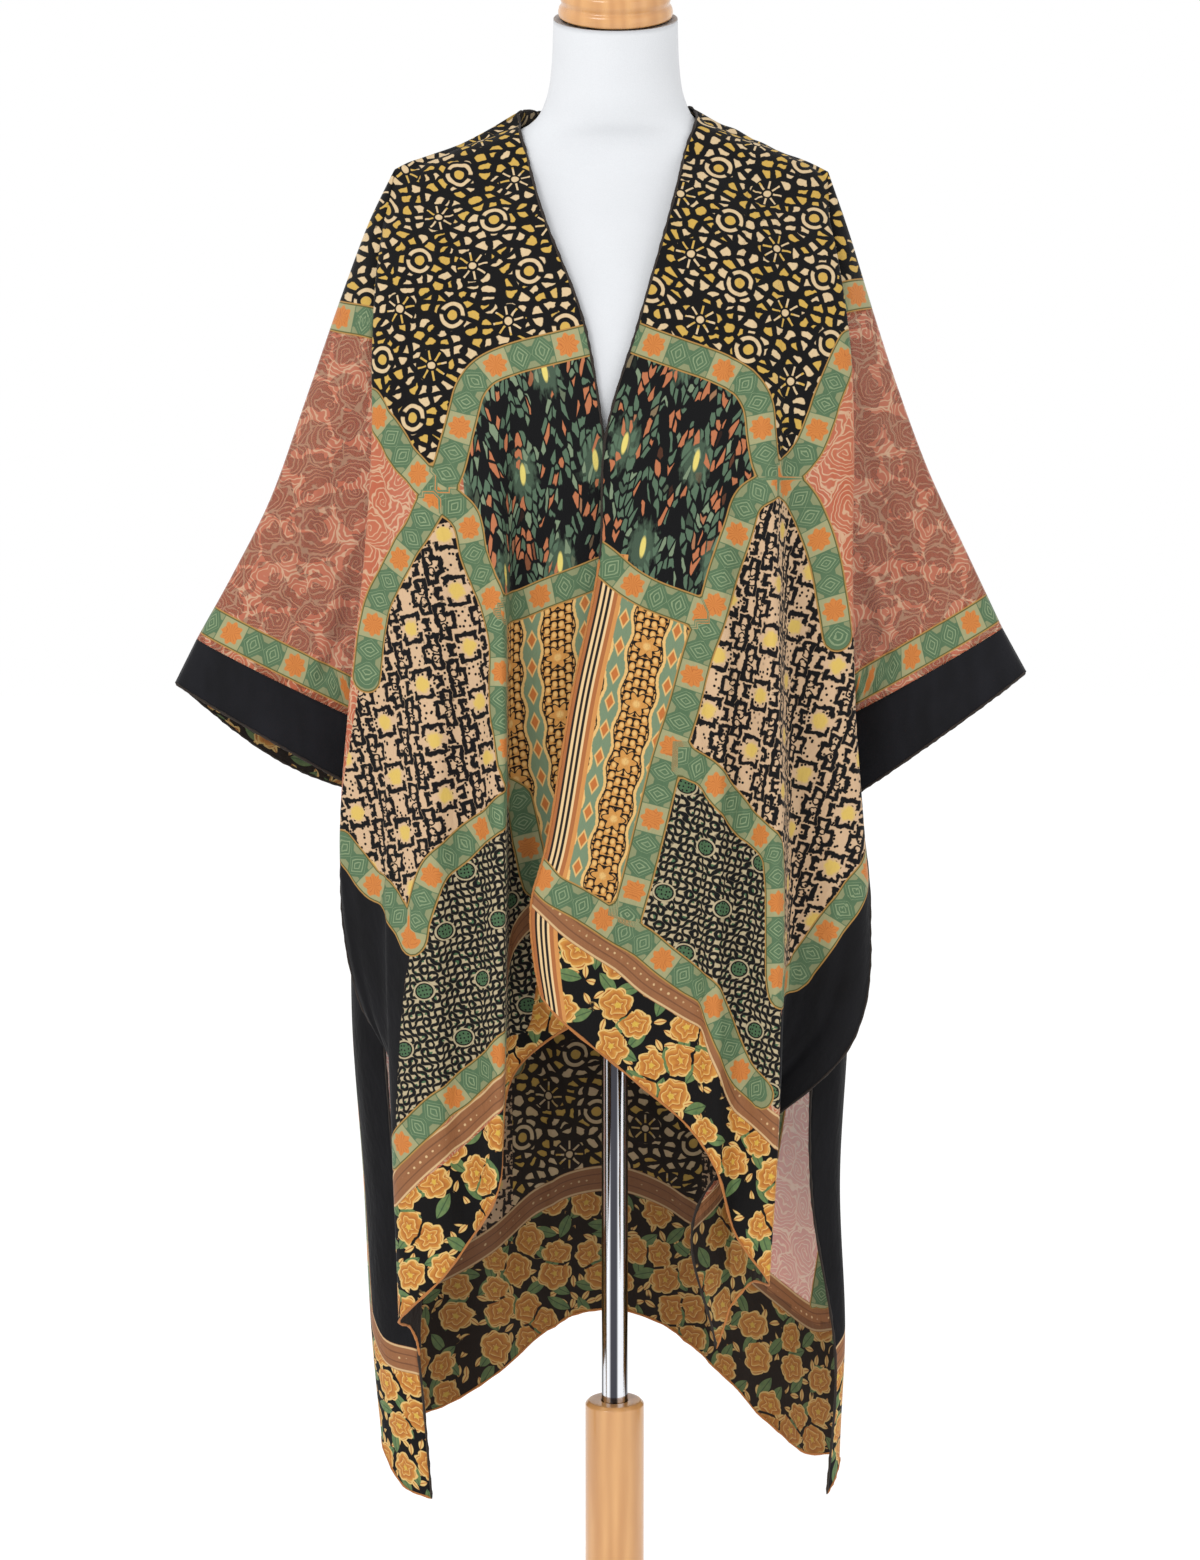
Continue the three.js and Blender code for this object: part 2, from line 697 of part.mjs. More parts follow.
// A turned solid from a profile of radii and heights, with n sides.
function turned(profile, n) {
  const last = profile.length - 1;
  const rings = profile.slice(1, last).map(([radius, z]) => circle(radius, z, n));
  return ringsSolid([0, 0, profile[0][1]], rings, [0, 0, profile[last][1]]);
}

function torsoRing(z, n) {
  const s = torsoSection(z);
  const depth = (s.back - s.front) / 2;
  const middle = (s.back + s.front) / 2;
  const rise = Math.tan(THREE.MathUtils.degToRad(s.slope));
  return Array.from({ length: n }, (_, j) => {
    const a = (2 * Math.PI * j) / n;
    return [s.half * Math.cos(a), middle + depth * Math.sin(a), z + depth * Math.sin(a) * rise];
  });
}

function torsoSolid() {
  const n = 32;
  const socketTop = TORSO_BOTTOM + SOCKET_DEPTH;
  const foot = torsoRing(TORSO_BOTTOM, n).map(([x, y, z]) => [x * 0.97, y * 0.97, z]);
  const rings = [circle(SOCKET_RADIUS, socketTop, n), circle(SOCKET_RADIUS, TORSO_BOTTOM, n), foot];
  for (let z = TORSO_BOTTOM + 5; z < 1400; z += 43) {
    rings.push(torsoRing(z, n));
  }
  for (let z = 1406; z < NECK_TOP - 6; z += 13) {
    rings.push(torsoRing(z, n));
  }
  rings.push(torsoRing(NECK_TOP, n));
  const top = torsoSection(NECK_TOP);
  return ringsSolid([0, 0, socketTop], rings, [0, (top.back + top.front) / 2, NECK_TOP]);
}

function capSolid() {
  const g = turned(CAP_PROFILE, 28);
  const top = torsoSection(NECK_TOP);
  const tilt = THREE.MathUtils.degToRad(top.slope);
  const lift = new THREE.Vector3(0, 0, FACE_GAP).applyAxisAngle(new THREE.Vector3(1, 0, 0), tilt);
  g.rotateX(tilt);
  return g.translate(0, (top.back + top.front) / 2 + lift.y, NECK_TOP + lift.z);
}

const group = new THREE.Group();
group.name = "kimono_coat";
function add(name, geometry, colour) {
  const mesh = new THREE.Mesh(geometry, new THREE.MeshStandardMaterial({ color: colour, roughness: 0.85 }));
  mesh.name = name;
  group.add(mesh);
}

const frontRight = panelGrid(RIGHT_FRONT);
const frontLeft = panelGrid(LEFT_FRONT);
const back = panelGrid(BACK);
for (const p of back[0]) p.y = Math.max(p.y, 0);
const lastFront = frontRight[0].length - 1;
const lastBack = back[0].length - 1;

const sleeves = {
  left: sleeveRings(LEFT_SLEEVE, frontLeft, lastFront, 0),
  right: sleeveRings(RIGHT_SLEEVE, frontRight, lastFront, lastBack),
};
const cuffs = {
  left: cuffRings(LEFT_SLEEVE, sleeves.left[sleeves.left.length - 1]),
  right: cuffRings(RIGHT_SLEEVE, sleeves.right[sleeves.right.length - 1]),
};

// What lies inside the armhole seam, for each point of the armhole ring.
function insideArmhole(front, backColumn, backInner) {
  const ring = [];
  for (let i = 0; i <= armRows; i++) {
    ring.push(front[i][lastFront - 1]);
  }
  const a = front[armRows][lastFront - 1];
  const b = back[armRows][backInner];
  for (let k = 1; k <= GUSSET_POINTS; k++) {
    const p = a.clone().lerp(b, k / (GUSSET_POINTS + 1));
    p.z += 40;
    ring.push(p);
  }
  for (let i = armRows; i >= 1; i--) {
    ring.push(back[i][backInner]);
  }
  return ring;
}

const inside = {
  left: insideArmhole(frontLeft, 0, 1),
  right: insideArmhole(frontRight, lastBack, lastBack - 1),
};

const normals = {
  frontLeft: gridNormals(frontLeft, { east: (i) => (i <= armRows ? sleeves.left[1][i] : null) }),
  frontRight: gridNormals(frontRight, { east: (i) => (i <= armRows ? sleeves.right[1][i] : null) }),
  back: gridNormals(back, {
    west: (i) => (i >= 1 && i <= armRows ? sleeves.left[1][ringLength - i] : null),
    east: (i) => (i >= 1 && i <= armRows ? sleeves.right[1][ringLength - i] : null),
  }),
};
const sleeveNormals = {
  left: ringNormals(sleeves.left, inside.left, cuffs.left[1]),
  right: ringNormals(sleeves.right, inside.right, cuffs.right[1]),
};
const cuffNormals = {
  left: ringNormals(cuffs.left, sleeves.left[sleeves.left.length - 2], null),
  right: ringNormals(cuffs.right, sleeves.right[sleeves.right.length - 2], null),
};

// Along the shoulder seam both walls stand square to the seam line.
function squareShoulder(grid, shoulderNormals, from, to, forward) {
  const cols = grid[0].length;
  for (let j = from; j <= to; j++) {
    const west = grid[0][Math.max(j - 1, 0)];
    const east = grid[0][Math.min(j + 1, cols - 1)];
    const along = east.clone().sub(west);
    shoulderNormals[0][j].copy(along.cross(new THREE.Vector3(0, forward, 0)).normalize());
  }
}

const neckLeft = 6 * COLUMNS_PER_FOLD;
const neckRight = 10 * COLUMNS_PER_FOLD;
squareShoulder(frontLeft, normals.frontLeft, 0, lastFront, -1);
squareShoulder(frontRight, normals.frontRight, 0, lastFront, -1);
squareShoulder(back, normals.back, 0, neckLeft, 1);
squareShoulder(back, normals.back, neckRight, lastBack, 1);
normals.frontLeft[0][lastFront].copy(sleeveNormals.left[0][0]).negate();
normals.frontRight[0][lastFront].copy(sleeveNormals.right[0][0]).negate();
normals.back[0][0].copy(sleeveNormals.left[0][0]).negate();
normals.back[0][lastBack].copy(sleeveNormals.right[0][0]);

// Half a seam gap, square to the seam line, from the inside point towards the outside one.
function halfGap(ring, k, outside, insidePoint) {
  const n = ring.length;
  const along = ring[(k + 1) % n].clone().sub(ring[(k + n - 1) % n]).normalize();
  const pull = outside.clone().sub(insidePoint);
  pull.addScaledVector(along, -pull.dot(along));
  return pull.normalize().multiplyScalar(SEAM_GAP / 2);
}

// Every seam opens by the seam gap, half on each side.
function easeArmhole(front, sleeve, ring, backColumn) {
  const seam = sleeve[0].map((p) => p.clone());
  const gap = seam.map((_, k) => halfGap(seam, k, sleeve[1][k], ring[k]));
  for (let i = 0; i <= armRows; i++) {
    front[i][lastFront].sub(gap[i]);
  }
  for (let i = 1; i <= armRows; i++) {
    back[i][backColumn].sub(gap[ringLength - i]);
  }
  back[0][backColumn].sub(gap[0]);
  sleeve[0].forEach((p, k) => p.add(gap[k]));
}
easeArmhole(frontLeft, sleeves.left, inside.left, 0);
easeArmhole(frontRight, sleeves.right, inside.right, lastBack);
for (const row of [frontLeft[0], frontRight[0]]) {
  for (const p of row) p.y -= SEAM_GAP / 2;
}
for (const p of back[0]) {
  p.y += SEAM_GAP / 2;
}
for (const side of ["left", "right"]) {
  const s = sleeves[side];
  const c = cuffs[side];
  s[s.length - 1] = s[s.length - 1].map((p) => p.clone());
  c[0] = c[0].map((p) => p.clone());
  easeSeam(s[s.length - 1], s[s.length - 2]);
  easeSeam(c[0], c[1]);
}

add("front_left", wall(frontLeft, normals.frontLeft, 1), 0x6b5440);
add("front_right", wall(frontRight, normals.frontRight, -1), 0x7a5c3c);
add("back", wall(back, normals.back, 1), 0x4a4238);
add("sleeve_left", tubeWall(sleeves.left, sleeveNormals.left, -1), 0xc8845c);
add("sleeve_right", tubeWall(sleeves.right, sleeveNormals.right, 1), 0xc8845c);
add("cuff_left", tubeWall(cuffs.left, cuffNormals.left, -1), 0x101012);
add("cuff_right", tubeWall(cuffs.right, cuffNormals.right, 1), 0x101012);
add("torso", torsoSolid(), 0xe2e4e6);
add("neck_cap", capSolid(), 0xd9a066);
add("pole", turned(POLE_PROFILE, 32), 0xb8bcc0);
add("post", turned(POST_PROFILE, 32), 0xd9a066);
add("base", turned(BASE_PROFILE, 48), 0xd9a066);

export default group;
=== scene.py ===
"""Looks of a printed velvet and chiffon kimono coat on its linen dress form and turned stand."""

import logging
import math
from dataclasses import dataclass
from enum import Enum
from typing import Optional, Sequence, Union

import bpy
import numpy as np
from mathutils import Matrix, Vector


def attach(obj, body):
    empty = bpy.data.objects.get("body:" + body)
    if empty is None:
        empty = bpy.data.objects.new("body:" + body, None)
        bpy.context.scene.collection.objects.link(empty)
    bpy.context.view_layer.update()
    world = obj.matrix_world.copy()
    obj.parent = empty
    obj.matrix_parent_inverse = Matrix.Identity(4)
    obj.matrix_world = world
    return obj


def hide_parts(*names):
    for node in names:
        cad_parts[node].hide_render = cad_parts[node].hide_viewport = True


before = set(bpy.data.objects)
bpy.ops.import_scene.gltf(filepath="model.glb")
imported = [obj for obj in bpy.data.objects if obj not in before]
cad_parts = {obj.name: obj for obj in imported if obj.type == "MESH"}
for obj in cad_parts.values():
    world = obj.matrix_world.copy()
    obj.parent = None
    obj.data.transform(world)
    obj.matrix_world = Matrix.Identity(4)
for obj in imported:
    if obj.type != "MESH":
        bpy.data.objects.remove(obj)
LOG = logging.getLogger("kimono_coat")

Point = tuple[float, float, float]
FoldTable = tuple[tuple[str, tuple[Point, ...]], ...]
Outline = tuple[tuple[float, float], ...]
Colour = tuple[float, float, float, float]

MM = 0.001
CLOTH_THICKNESS = 0.7
FORM_CLEARANCE = 4.0
ARMHOLE_STATIONS = 5
SHOULDER_SHARE = 6 / 14
EYE = np.array((-13.5, -2500.0, 1179.0))
EYE_PITCH = 5.8
EYE_LENS = 64.47
FRONT_PLANE = -125.0

# Fold lines of the cloth in millimetres, each from the shoulder down to the hem: x, y, z.
RIGHT_FRONT_FOLDS: FoldTable = (
    ("front_edge", ((69, 0, 1517), (50, -76, 1434), (20, -121, 1328), (-9, -137, 1227), (-14, -141, 1126),
     (-38, -145, 1008), (-59, -149, 884), (-72, -151, 835), (-70, -152, 790), (-64, -152, 756))),
    ("edge_fold", ((80, 0, 1511), (64, -74, 1430), (38, -118, 1324), (14, -137, 1226), (4, -142, 1126),
     (-16, -147, 1008), (-36, -153, 884), (-46, -157, 826), (-51, -158, 780), (-51, -158, 740))),
    ("inner_hollow", ((93, 0, 1504), (84, -73, 1425), (60, -115, 1322), (42, -134, 1226), (37, -137, 1126),
     (29, -138, 1006), (21, -139, 884), (17, -139, 815), (16, -139, 745), (17, -139, 679))),
    ("middle", ((105, 0, 1500), (99, -72, 1420), (82, -112, 1320), (72, -131, 1226), (71, -134, 1126),
     (68, -135, 1006), (66, -136, 880), (65, -136, 800), (64, -136, 715), (64, -136, 637))),
    ("middle_fold", ((114, 0, 1495), (110, -71, 1416), (98, -110, 1320), (92, -131, 1226),
     (89, -137, 1126), (88, -143, 1006), (87, -148, 878), (86, -151, 790), (86, -152, 700),
     (86, -152, 605))),
    ("ridge_hollow", ((121, 0, 1491), (118, -70, 1412), (112, -108, 1320), (111, -127, 1226),
     (110, -131, 1126), (110, -133, 1006), (109, -135, 876), (109, -137, 780), (108, -138, 670),
     (104, -138, 544))),
    ("ridge", ((129, 0, 1488), (129, -69, 1408), (129, -104, 1319), (130, -128, 1226), (132, -144, 1126),
     (134, -153, 1006), (137, -157, 872), (138, -159, 770), (138, -160, 650), (131, -160, 509))),
    ("behind_ridge", ((145, 0, 1480), (149, -64, 1400), (149, -96, 1316), (149, -108, 1226),
     (149, -108, 1126), (152, -104, 1004), (156, -98, 862), (152, -93, 752), (128, -98, 636),
     (119, -98, 490))),
    ("side_fold", ((163, 0, 1474), (177, -56, 1394), (185, -84, 1312), (186, -98, 1226), (184, -102, 1126),
     (186, -104, 1004), (193, -101, 850), (181, -92, 735), (102, -74, 602), (104, -86, 468))),
    ("side_crest", ((175, 0, 1469), (191, -50, 1388), (201, -74, 1310), (204, -88, 1226), (203, -94, 1124),
     (206, -96, 1000), (215, -92, 836), (199, -92, 718), (80, -66, 574), (93, -80, 447))),
    ("side_edge", ((187, 0, 1463), (188, -37, 1384), (195, -54, 1305), (195, -62, 1220), (196, -64, 1118),
     (200, -58, 990), (223, -76, 822), (208, -84, 703), (61, -72, 552), (83, -76, 428))),
)
LEFT_FRONT_FOLDS: FoldTable = (
    ("front_edge", ((-86, 0, 1514), (-64, -76, 1424), (-27, -120, 1324), (-10, -130, 1226),
     (5, -127, 1125), (21, -123, 1006), (33, -120, 896), (40, -119, 840), (44, -119, 800),
     (46, -119, 757))),
    ("edge_fold", ((-92, 0, 1508), (-74, -75, 1420), (-44, -117, 1322), (-28, -128, 1226),
     (-16, -126, 1125), (-6, -125, 1006), (0, -126, 890), (4, -128, 830), (6, -128, 790), (6, -128, 742))),
    ("inner_hollow", ((-100, 0, 1504), (-86, -74, 1416), (-64, -114, 1320), (-52, -125, 1226),
     (-46, -122, 1125), (-40, -118, 1006), (-37, -114, 885), (-36, -112, 825), (-36, -112, 780),
     (-36, -112, 724))),
    ("under_ridge", ((-110, 0, 1500), (-100, -73, 1412), (-86, -111, 1318), (-84, -121, 1226),
     (-84, -116, 1120), (-88, -108, 1006), (-89, -104, 876), (-89, -102, 800), (-89, -102, 740),
     (-90, -104, 676))),
    ("ridge", ((-120, 0, 1494), (-113, -72, 1406), (-106, -108, 1314), (-102, -128, 1226),
     (-98, -143, 1126), (-96, -153, 1006), (-96, -157, 870), (-97, -159, 775), (-98, -160, 685),
     (-101, -160, 587))),
    ("outer_hollow", ((-133, 0, 1488), (-132, -70, 1400), (-130, -106, 1310), (-129, -121, 1226),
     (-128, -128, 1125), (-127, -132, 1006), (-128, -134, 866), (-129, -136, 765), (-129, -137, 655),
     (-128, -137, 536))),
    ("soft_fold", ((-146, 0, 1483), (-152, -66, 1396), (-158, -100, 1308), (-158, -118, 1226),
     (-158, -129, 1125), (-158, -138, 1006), (-159, -144, 862), (-159, -147, 752), (-157, -148, 630),
     (-150, -148, 508))),
    ("outer_ridge", ((-158, 0, 1479), (-170, -61, 1394), (-180, -92, 1308), (-184, -107, 1226),
     (-186, -113, 1125), (-187, -118, 1004), (-188, -122, 860), (-190, -128, 740), (-191, -132, 600),
     (-188, -130, 466))),
    ("turn", ((-170, 0, 1475), (-188, -55, 1392), (-196, -84, 1308), (-198, -98, 1226), (-200, -103, 1125),
     (-206, -107, 1004), (-206, -106, 858), (-200, -106, 728), (-186, -97, 625), (-181, -98, 450))),
    ("side_crest", ((-182, 0, 1471), (-204, -46, 1388), (-209, -74, 1308), (-209, -89, 1226),
     (-216, -94, 1124), (-230, -96, 1002), (-238, -90, 860), (-217, -91, 732), (-180, -80, 640),
     (-176, -86, 434))),
    ("side_edge", ((-194, 0, 1465), (-206, -36, 1384), (-201, -54, 1305), (-199, -62, 1220),
     (-204, -64, 1118), (-212, -58, 990), (-240, -74, 858), (-224, -82, 738), (-175, -72, 650),
     (-174, -80, 419))),
)
BACK_FOLDS: FoldTable = (
    ("left_edge", ((-194, 0, 1465), (-208, 30, 1384), (-205, 44, 1305), (-204, 50, 1220), (-208, 52, 1118),
     (-214, 44, 990), (-222, 4, 850), (-208, -36, 710), (-196, -48, 560), (-176, -50, 400),
     (-166, -46, 275))),
    ("left_wrap", ((-184, 0, 1470), (-206, 44, 1384), (-210, 64, 1305), (-210, 72, 1220), (-215, 76, 1118),
     (-225, 66, 990), (-234, 26, 850), (-232, -18, 710), (-220, -26, 560), (-208, -32, 400),
     (-193, -28, 281))),
    ("left_side", ((-172, 0, 1474), (-196, 54, 1388), (-204, 82, 1308), (-206, 92, 1220), (-212, 94, 1118),
     (-224, 88, 990), (-238, 56, 850), (-238, 18, 710), (-228, 6, 560), (-222, 0, 420), (-214, -4, 318))),
    ("left_hollow", ((-158, 0, 1479), (-176, 60, 1396), (-184, 92, 1312), (-188, 104, 1222),
     (-196, 104, 1118), (-206, 100, 990), (-214, 84, 850), (-212, 58, 710), (-204, 44, 560),
     (-198, 38, 430), (-194, 36, 322))),
    ("left_blade", ((-138, 0, 1486), (-148, 64, 1404), (-156, 100, 1316), (-160, 116, 1224),
     (-166, 122, 1118), (-172, 126, 990), (-178, 124, 850), (-176, 104, 710), (-170, 88, 560),
     (-164, 78, 440), (-158, 72, 324))),
    ("left_fold", ((-112, 0, 1499), (-116, 66, 1414), (-122, 102, 1320), (-124, 114, 1224),
     (-126, 116, 1118), (-128, 118, 990), (-130, 118, 850), (-128, 102, 710), (-122, 90, 570),
     (-116, 86, 460), (-110, 88, 350))),
    ("left_neck", ((-86, 0, 1514), (-84, 69, 1430), (-84, 104, 1324), (-84, 120, 1226), (-84, 126, 1118),
     (-84, 130, 990), (-84, 132, 850), (-82, 124, 720), (-78, 116, 590), (-74, 112, 480), (-68, 112, 381))),
    ("neck_turn", ((-64, 38, 1519), (-52, 74, 1434), (-46, 104, 1326), (-44, 116, 1226), (-42, 118, 1118),
     (-42, 120, 990), (-42, 122, 850), (-42, 116, 720), (-42, 106, 600), (-40, 102, 500), (-38, 102, 398))),
    ("centre", ((-8, 48, 1506), (-8, 78, 1432), (-8, 108, 1328), (-8, 122, 1226), (-6, 128, 1118),
     (-4, 132, 990), (-2, 134, 850), (0, 128, 720), (2, 120, 610), (2, 116, 500), (2, 114, 403))),
    ("neck_turn_right", ((49, 38, 1519), (38, 74, 1434), (34, 104, 1326), (34, 115, 1226), (34, 116, 1118),
     (34, 118, 990), (36, 120, 850), (38, 114, 720), (40, 104, 600), (42, 100, 500), (44, 100, 390))),
    ("right_neck", ((69, 0, 1517), (72, 66, 1428), (74, 104, 1324), (76, 120, 1226), (78, 127, 1118),
     (80, 130, 990), (82, 132, 850), (82, 122, 720), (82, 114, 590), (82, 108, 480), (80, 106, 366))),
    ("right_fold", ((98, 0, 1501), (106, 66, 1414), (112, 100, 1320), (114, 112, 1224), (116, 114, 1118),
     (118, 116, 990), (120, 114, 850), (118, 98, 710), (116, 84, 570), (112, 78, 450), (109, 78, 339))),
    ("right_blade", ((124, 0, 1489), (138, 63, 1402), (146, 98, 1316), (150, 113, 1224), (156, 119, 1118),
     (162, 120, 990), (166, 114, 850), (162, 92, 710), (158, 76, 560), (154, 66, 430), (150, 60, 306))),
    ("right_hollow", ((148, 0, 1479), (166, 59, 1394), (176, 90, 1312), (180, 102, 1222), (186, 102, 1118),
     (192, 96, 990), (198, 78, 850), (194, 54, 710), (188, 40, 560), (184, 32, 420), (178, 28, 292))),
    ("right_side", ((166, 0, 1472), (187, 53, 1387), (196, 80, 1308), (198, 90, 1220), (202, 92, 1118),
     (208, 84, 990), (218, 50, 850), (212, 16, 700), (204, 4, 560), (208, -2, 420), (206, -4, 300))),
    ("right_wrap", ((177, 0, 1467), (189, 48, 1385), (201, 62, 1305), (202, 70, 1220), (205, 74, 1118),
     (209, 62, 990), (216, 24, 850), (204, -22, 700), (200, -26, 560), (209, -22, 420), (202, -16, 284))),
    ("right_edge", ((187, 0, 1463), (188, 32, 1384), (193, 44, 1305), (196, 48, 1220), (199, 50, 1118),
     (202, 42, 990), (205, 2, 850), (178, -36, 690), (176, -44, 560), (200, -34, 400), (194, -24, 271))),
)


# Torso sections: height, half width, front, back, and the forward tilt in degrees.
TORSO_SECTIONS: tuple[tuple[float, float, float, float, float], ...] = (
    (800, 158, -104, 112, 0),
    (850, 166, -110, 120, 0),
    (920, 165, -110, 118, 0),
    (1010, 145, -100, 98, 0),
    (1100, 122, -92, 80, 0),
    (1180, 132, -108, 84, 0),
    (1255, 152, -124, 92, 0),
    (1330, 166, -112, 98, 0),
    (1395, 180, -84, 88, 0),
    (1435, 186, -60, 64, 0),
    (1458, 178, -46, 48, 0),
    (1477, 140, -42, 42, 2),
    (1492, 100, -44, 42, 5),
    (1505, 73, -50, 42, 9),
    (1524, 61, -54, 38, 14),
    (1550, 56, -56, 34, 19),
    (1592, 54, -62, 26, 22),
)


@dataclass(frozen=True)
class Crease:
    """A soft trough or ridge laid along a sheet, in shares of its width and length.

    Positions run from 0 at the first fold or the shoulder to 1 at the last fold or the hem.
    """

    start: tuple[float, float]
    end: tuple[float, float]
    depth: float
    width: float
    bow: float = 0.0


class Side(Enum):
    """Which side of the coat a piece belongs to, as a viewer sees it."""

    LEFT = -1
    RIGHT = 1


def smooth(points: np.ndarray, steps: Sequence[int]) -> np.ndarray:
    """Samples a centripetal curve through points.

    Args:
        points: control points along the first axis, with any further axes between.
        steps: number of samples in each span.

    Returns:
        The samples, with the last control point at the end.
    """
    ends = (2 * points[:1] - points[1:2], points, 2 * points[-1:] - points[-2:-1])
    full = np.concatenate(ends)
    out = []
    for i, count in enumerate(steps):
        p0, p1, p2, p3 = full[i:i + 4]
        gaps = [np.sqrt(np.linalg.norm(b - a, axis=-1, keepdims=True))
                for a, b in ((p0, p1), (p1, p2), (p2, p3))]
        d1 = np.where(gaps[1] < 1e-4, 1.0, gaps[1])
        d0 = np.where(gaps[0] < 1e-4, d1, gaps[0])
        d2 = np.where(gaps[2] < 1e-4, d1, gaps[2])
        m1 = ((p1 - p0) / d0 - (p2 - p0) / (d0 + d1) + (p2 - p1) / d1) * d1
        m2 = ((p2 - p1) / d1 - (p3 - p1) / (d1 + d2) + (p3 - p2) / d2) * d1
        for k in range(count):
            t = k / count
            cubic = 2 * p1 - 2 * p2 + m1 + m2
            out.append(p1 + m1 * t + (-3 * p1 + 3 * p2 - 2 * m1 - m2) * t * t + cubic * t ** 3)
    out.append(points[-1])
    return np.array(out)


def smooth_outline(points: Outline, step: int = 6) -> np.ndarray:
    """Samples an open outline of the print as a smooth line."""
    flat = np.array(points, float)
    return smooth(flat, [step] * (len(flat) - 1))


def divided(points: np.ndarray, spacing: float) -> np.ndarray:
    """Adds points on each straight edge so that none is longer than the spacing."""
    out = []
    for a, b in zip(points[:-1], points[1:]):
        count = max(1, int(math.ceil(np.linalg.norm(b - a) / spacing)))
        out.extend(a + (b - a) * k / count for k in range(count))
    out.append(points[-1])
    return np.array(out)


def path_field(points: np.ndarray, path: np.ndarray) -> tuple[np.ndarray, np.ndarray]:
    """Measures points against a line.

    Args:
        points: places on the cloth, one row each.
        path: the line's points.

    Returns:
        The signed distance from the line and the length along it, for each point.
    """
    near = np.full(len(points), 1e9)
    along = np.zeros(len(points))
    walked = 0.0
    for a, b in zip(path[:-1], path[1:]):
        edge = b - a
        length = max(float(np.linalg.norm(edge)), 1e-6)
        to = points - a
        share = np.clip(to @ edge / length ** 2, 0, 1)
        off = to - share[:, None] * edge
        distance = np.linalg.norm(off, axis=1)
        side = np.where(edge[0] * to[:, 1] - edge[1] * to[:, 0] < 0, -1.0, 1.0)
        closer = distance < np.abs(near)
        near = np.where(closer, distance * side, near)
        along = np.where(closer, walked + share * length, along)
        walked += length
    return near, along


def inside_field(points: np.ndarray, outline: np.ndarray) -> np.ndarray:
    """Depth of each point inside a closed outline; below zero outside it."""
    ring = np.concatenate((outline, outline[:1]))
    near, _ = path_field(points, ring)
    inside = np.zeros(len(points), bool)
    for a, b in zip(ring[:-1], ring[1:]):
        spans = (a[1] > points[:, 1]) != (b[1] > points[:, 1])
        rise = b[1] - a[1] if abs(b[1] - a[1]) > 1e-9 else 1e-9
        cross = a[0] + (points[:, 1] - a[1]) * (b[0] - a[0]) / rise
        inside ^= spans & (points[:, 0] < cross)
    return np.where(inside, np.abs(near), -np.abs(near))


class TorsoForm:
    """Smooth form of the padded torso, with the neck tilted forward."""

    table = np.array(TORSO_SECTIONS, float)

    @classmethod
    def section(cls, height: np.ndarray) -> tuple[np.ndarray, ...]:
        """Half width, front, back and tilt at each height, eased between the sections."""
        rows = cls.table
        z = np.clip(height, rows[0, 0], rows[-1, 0])
        i = np.clip(np.searchsorted(rows[:, 0], z) - 1, 0, len(rows) - 2)
        a, b, c, d = rows[np.maximum(i - 1, 0)], rows[i], rows[i + 1], rows[np.minimum(i + 2, len(rows) - 1)]
        span = (c[..., 0] - b[..., 0])[..., None]
        t = (z[..., None] - b[..., :1]) / span
        m0 = (c - a) / (c[..., :1] - a[..., :1]) * span
        m1 = (d - b) / (d[..., :1] - b[..., :1]) * span
        near = (2 * t ** 3 - 3 * t ** 2 + 1) * b + (t ** 3 - 2 * t ** 2 + t) * m0
        out = near + (3 * t ** 2 - 2 * t ** 3) * c + (t ** 3 - t ** 2) * m1
        return out[..., 1], out[..., 2], out[..., 3], out[..., 4]

    @classmethod
    def level(cls, p: np.ndarray) -> np.ndarray:
        """Zero on the form, above zero outside it, for points in the last axis."""
        _, front, back, slope = cls.section(p[..., 2])
        rise = (p[..., 1] - (back + front) / 2) * np.tan(np.radians(slope))
        half, front, back, _ = cls.section(p[..., 2] - rise)
        return np.hypot(p[..., 0] / half, (p[..., 1] - (back + front) / 2) / ((back - front) / 2)) - 1

    @classmethod
    def lift(cls, points: np.ndarray, clearance: float) -> np.ndarray:
        """Moves points off the form until they clear it."""
        p = points.copy()
        for _ in range(12):
            value = cls.level(p)
            way = np.stack([cls.level(p + step) - cls.level(p - step)
                            for step in np.eye(3) * 0.5], axis=-1)
            size = np.maximum(np.linalg.norm(way, axis=-1), 1e-4)
            height = value / size
            push = np.where((height < clearance - 0.05) & (height > -60), (clearance - height) * 0.8, 0)
            p += way / size[..., None] * push[..., None]
        return p


def make_object(name: str, points: np.ndarray, faces: Sequence[Sequence[int]],
                materials: Sequence[bpy.types.Material]) -> bpy.types.Object:
    """Makes a smooth mesh object.

    Args:
        name: the piece's name.
        points: vertices in millimetres.
        faces: vertex numbers of each face.
        materials: the piece's materials, the first for the outer side.

    Returns:
        The object, linked to the scene.
    """
    mesh = bpy.data.meshes.new(name)
    mesh.from_pydata((points * MM).tolist(), [], [list(f) for f in faces])
    mesh.update()
    mesh.polygons.foreach_set("use_smooth", [True] * len(mesh.polygons))
    for material in materials:
        mesh.materials.append(material)
    made = bpy.data.objects.new(name, mesh)
    bpy.context.scene.collection.objects.link(made)
    return made


def grid_faces(rows: int, cols: int, loop: bool = False, flip: bool = False) -> list[tuple[int, ...]]:
    """Quads of a grid of points; loop joins the last column to the first."""
    faces = []
    for i in range(rows - 1):
        for j in range(cols if loop else cols - 1):
            k = (j + 1) % cols
            quad = (i * cols + j, (i + 1) * cols + j, (i + 1) * cols + k, i * cols + k)
            faces.append(quad[::-1] if flip else quad)
    return faces


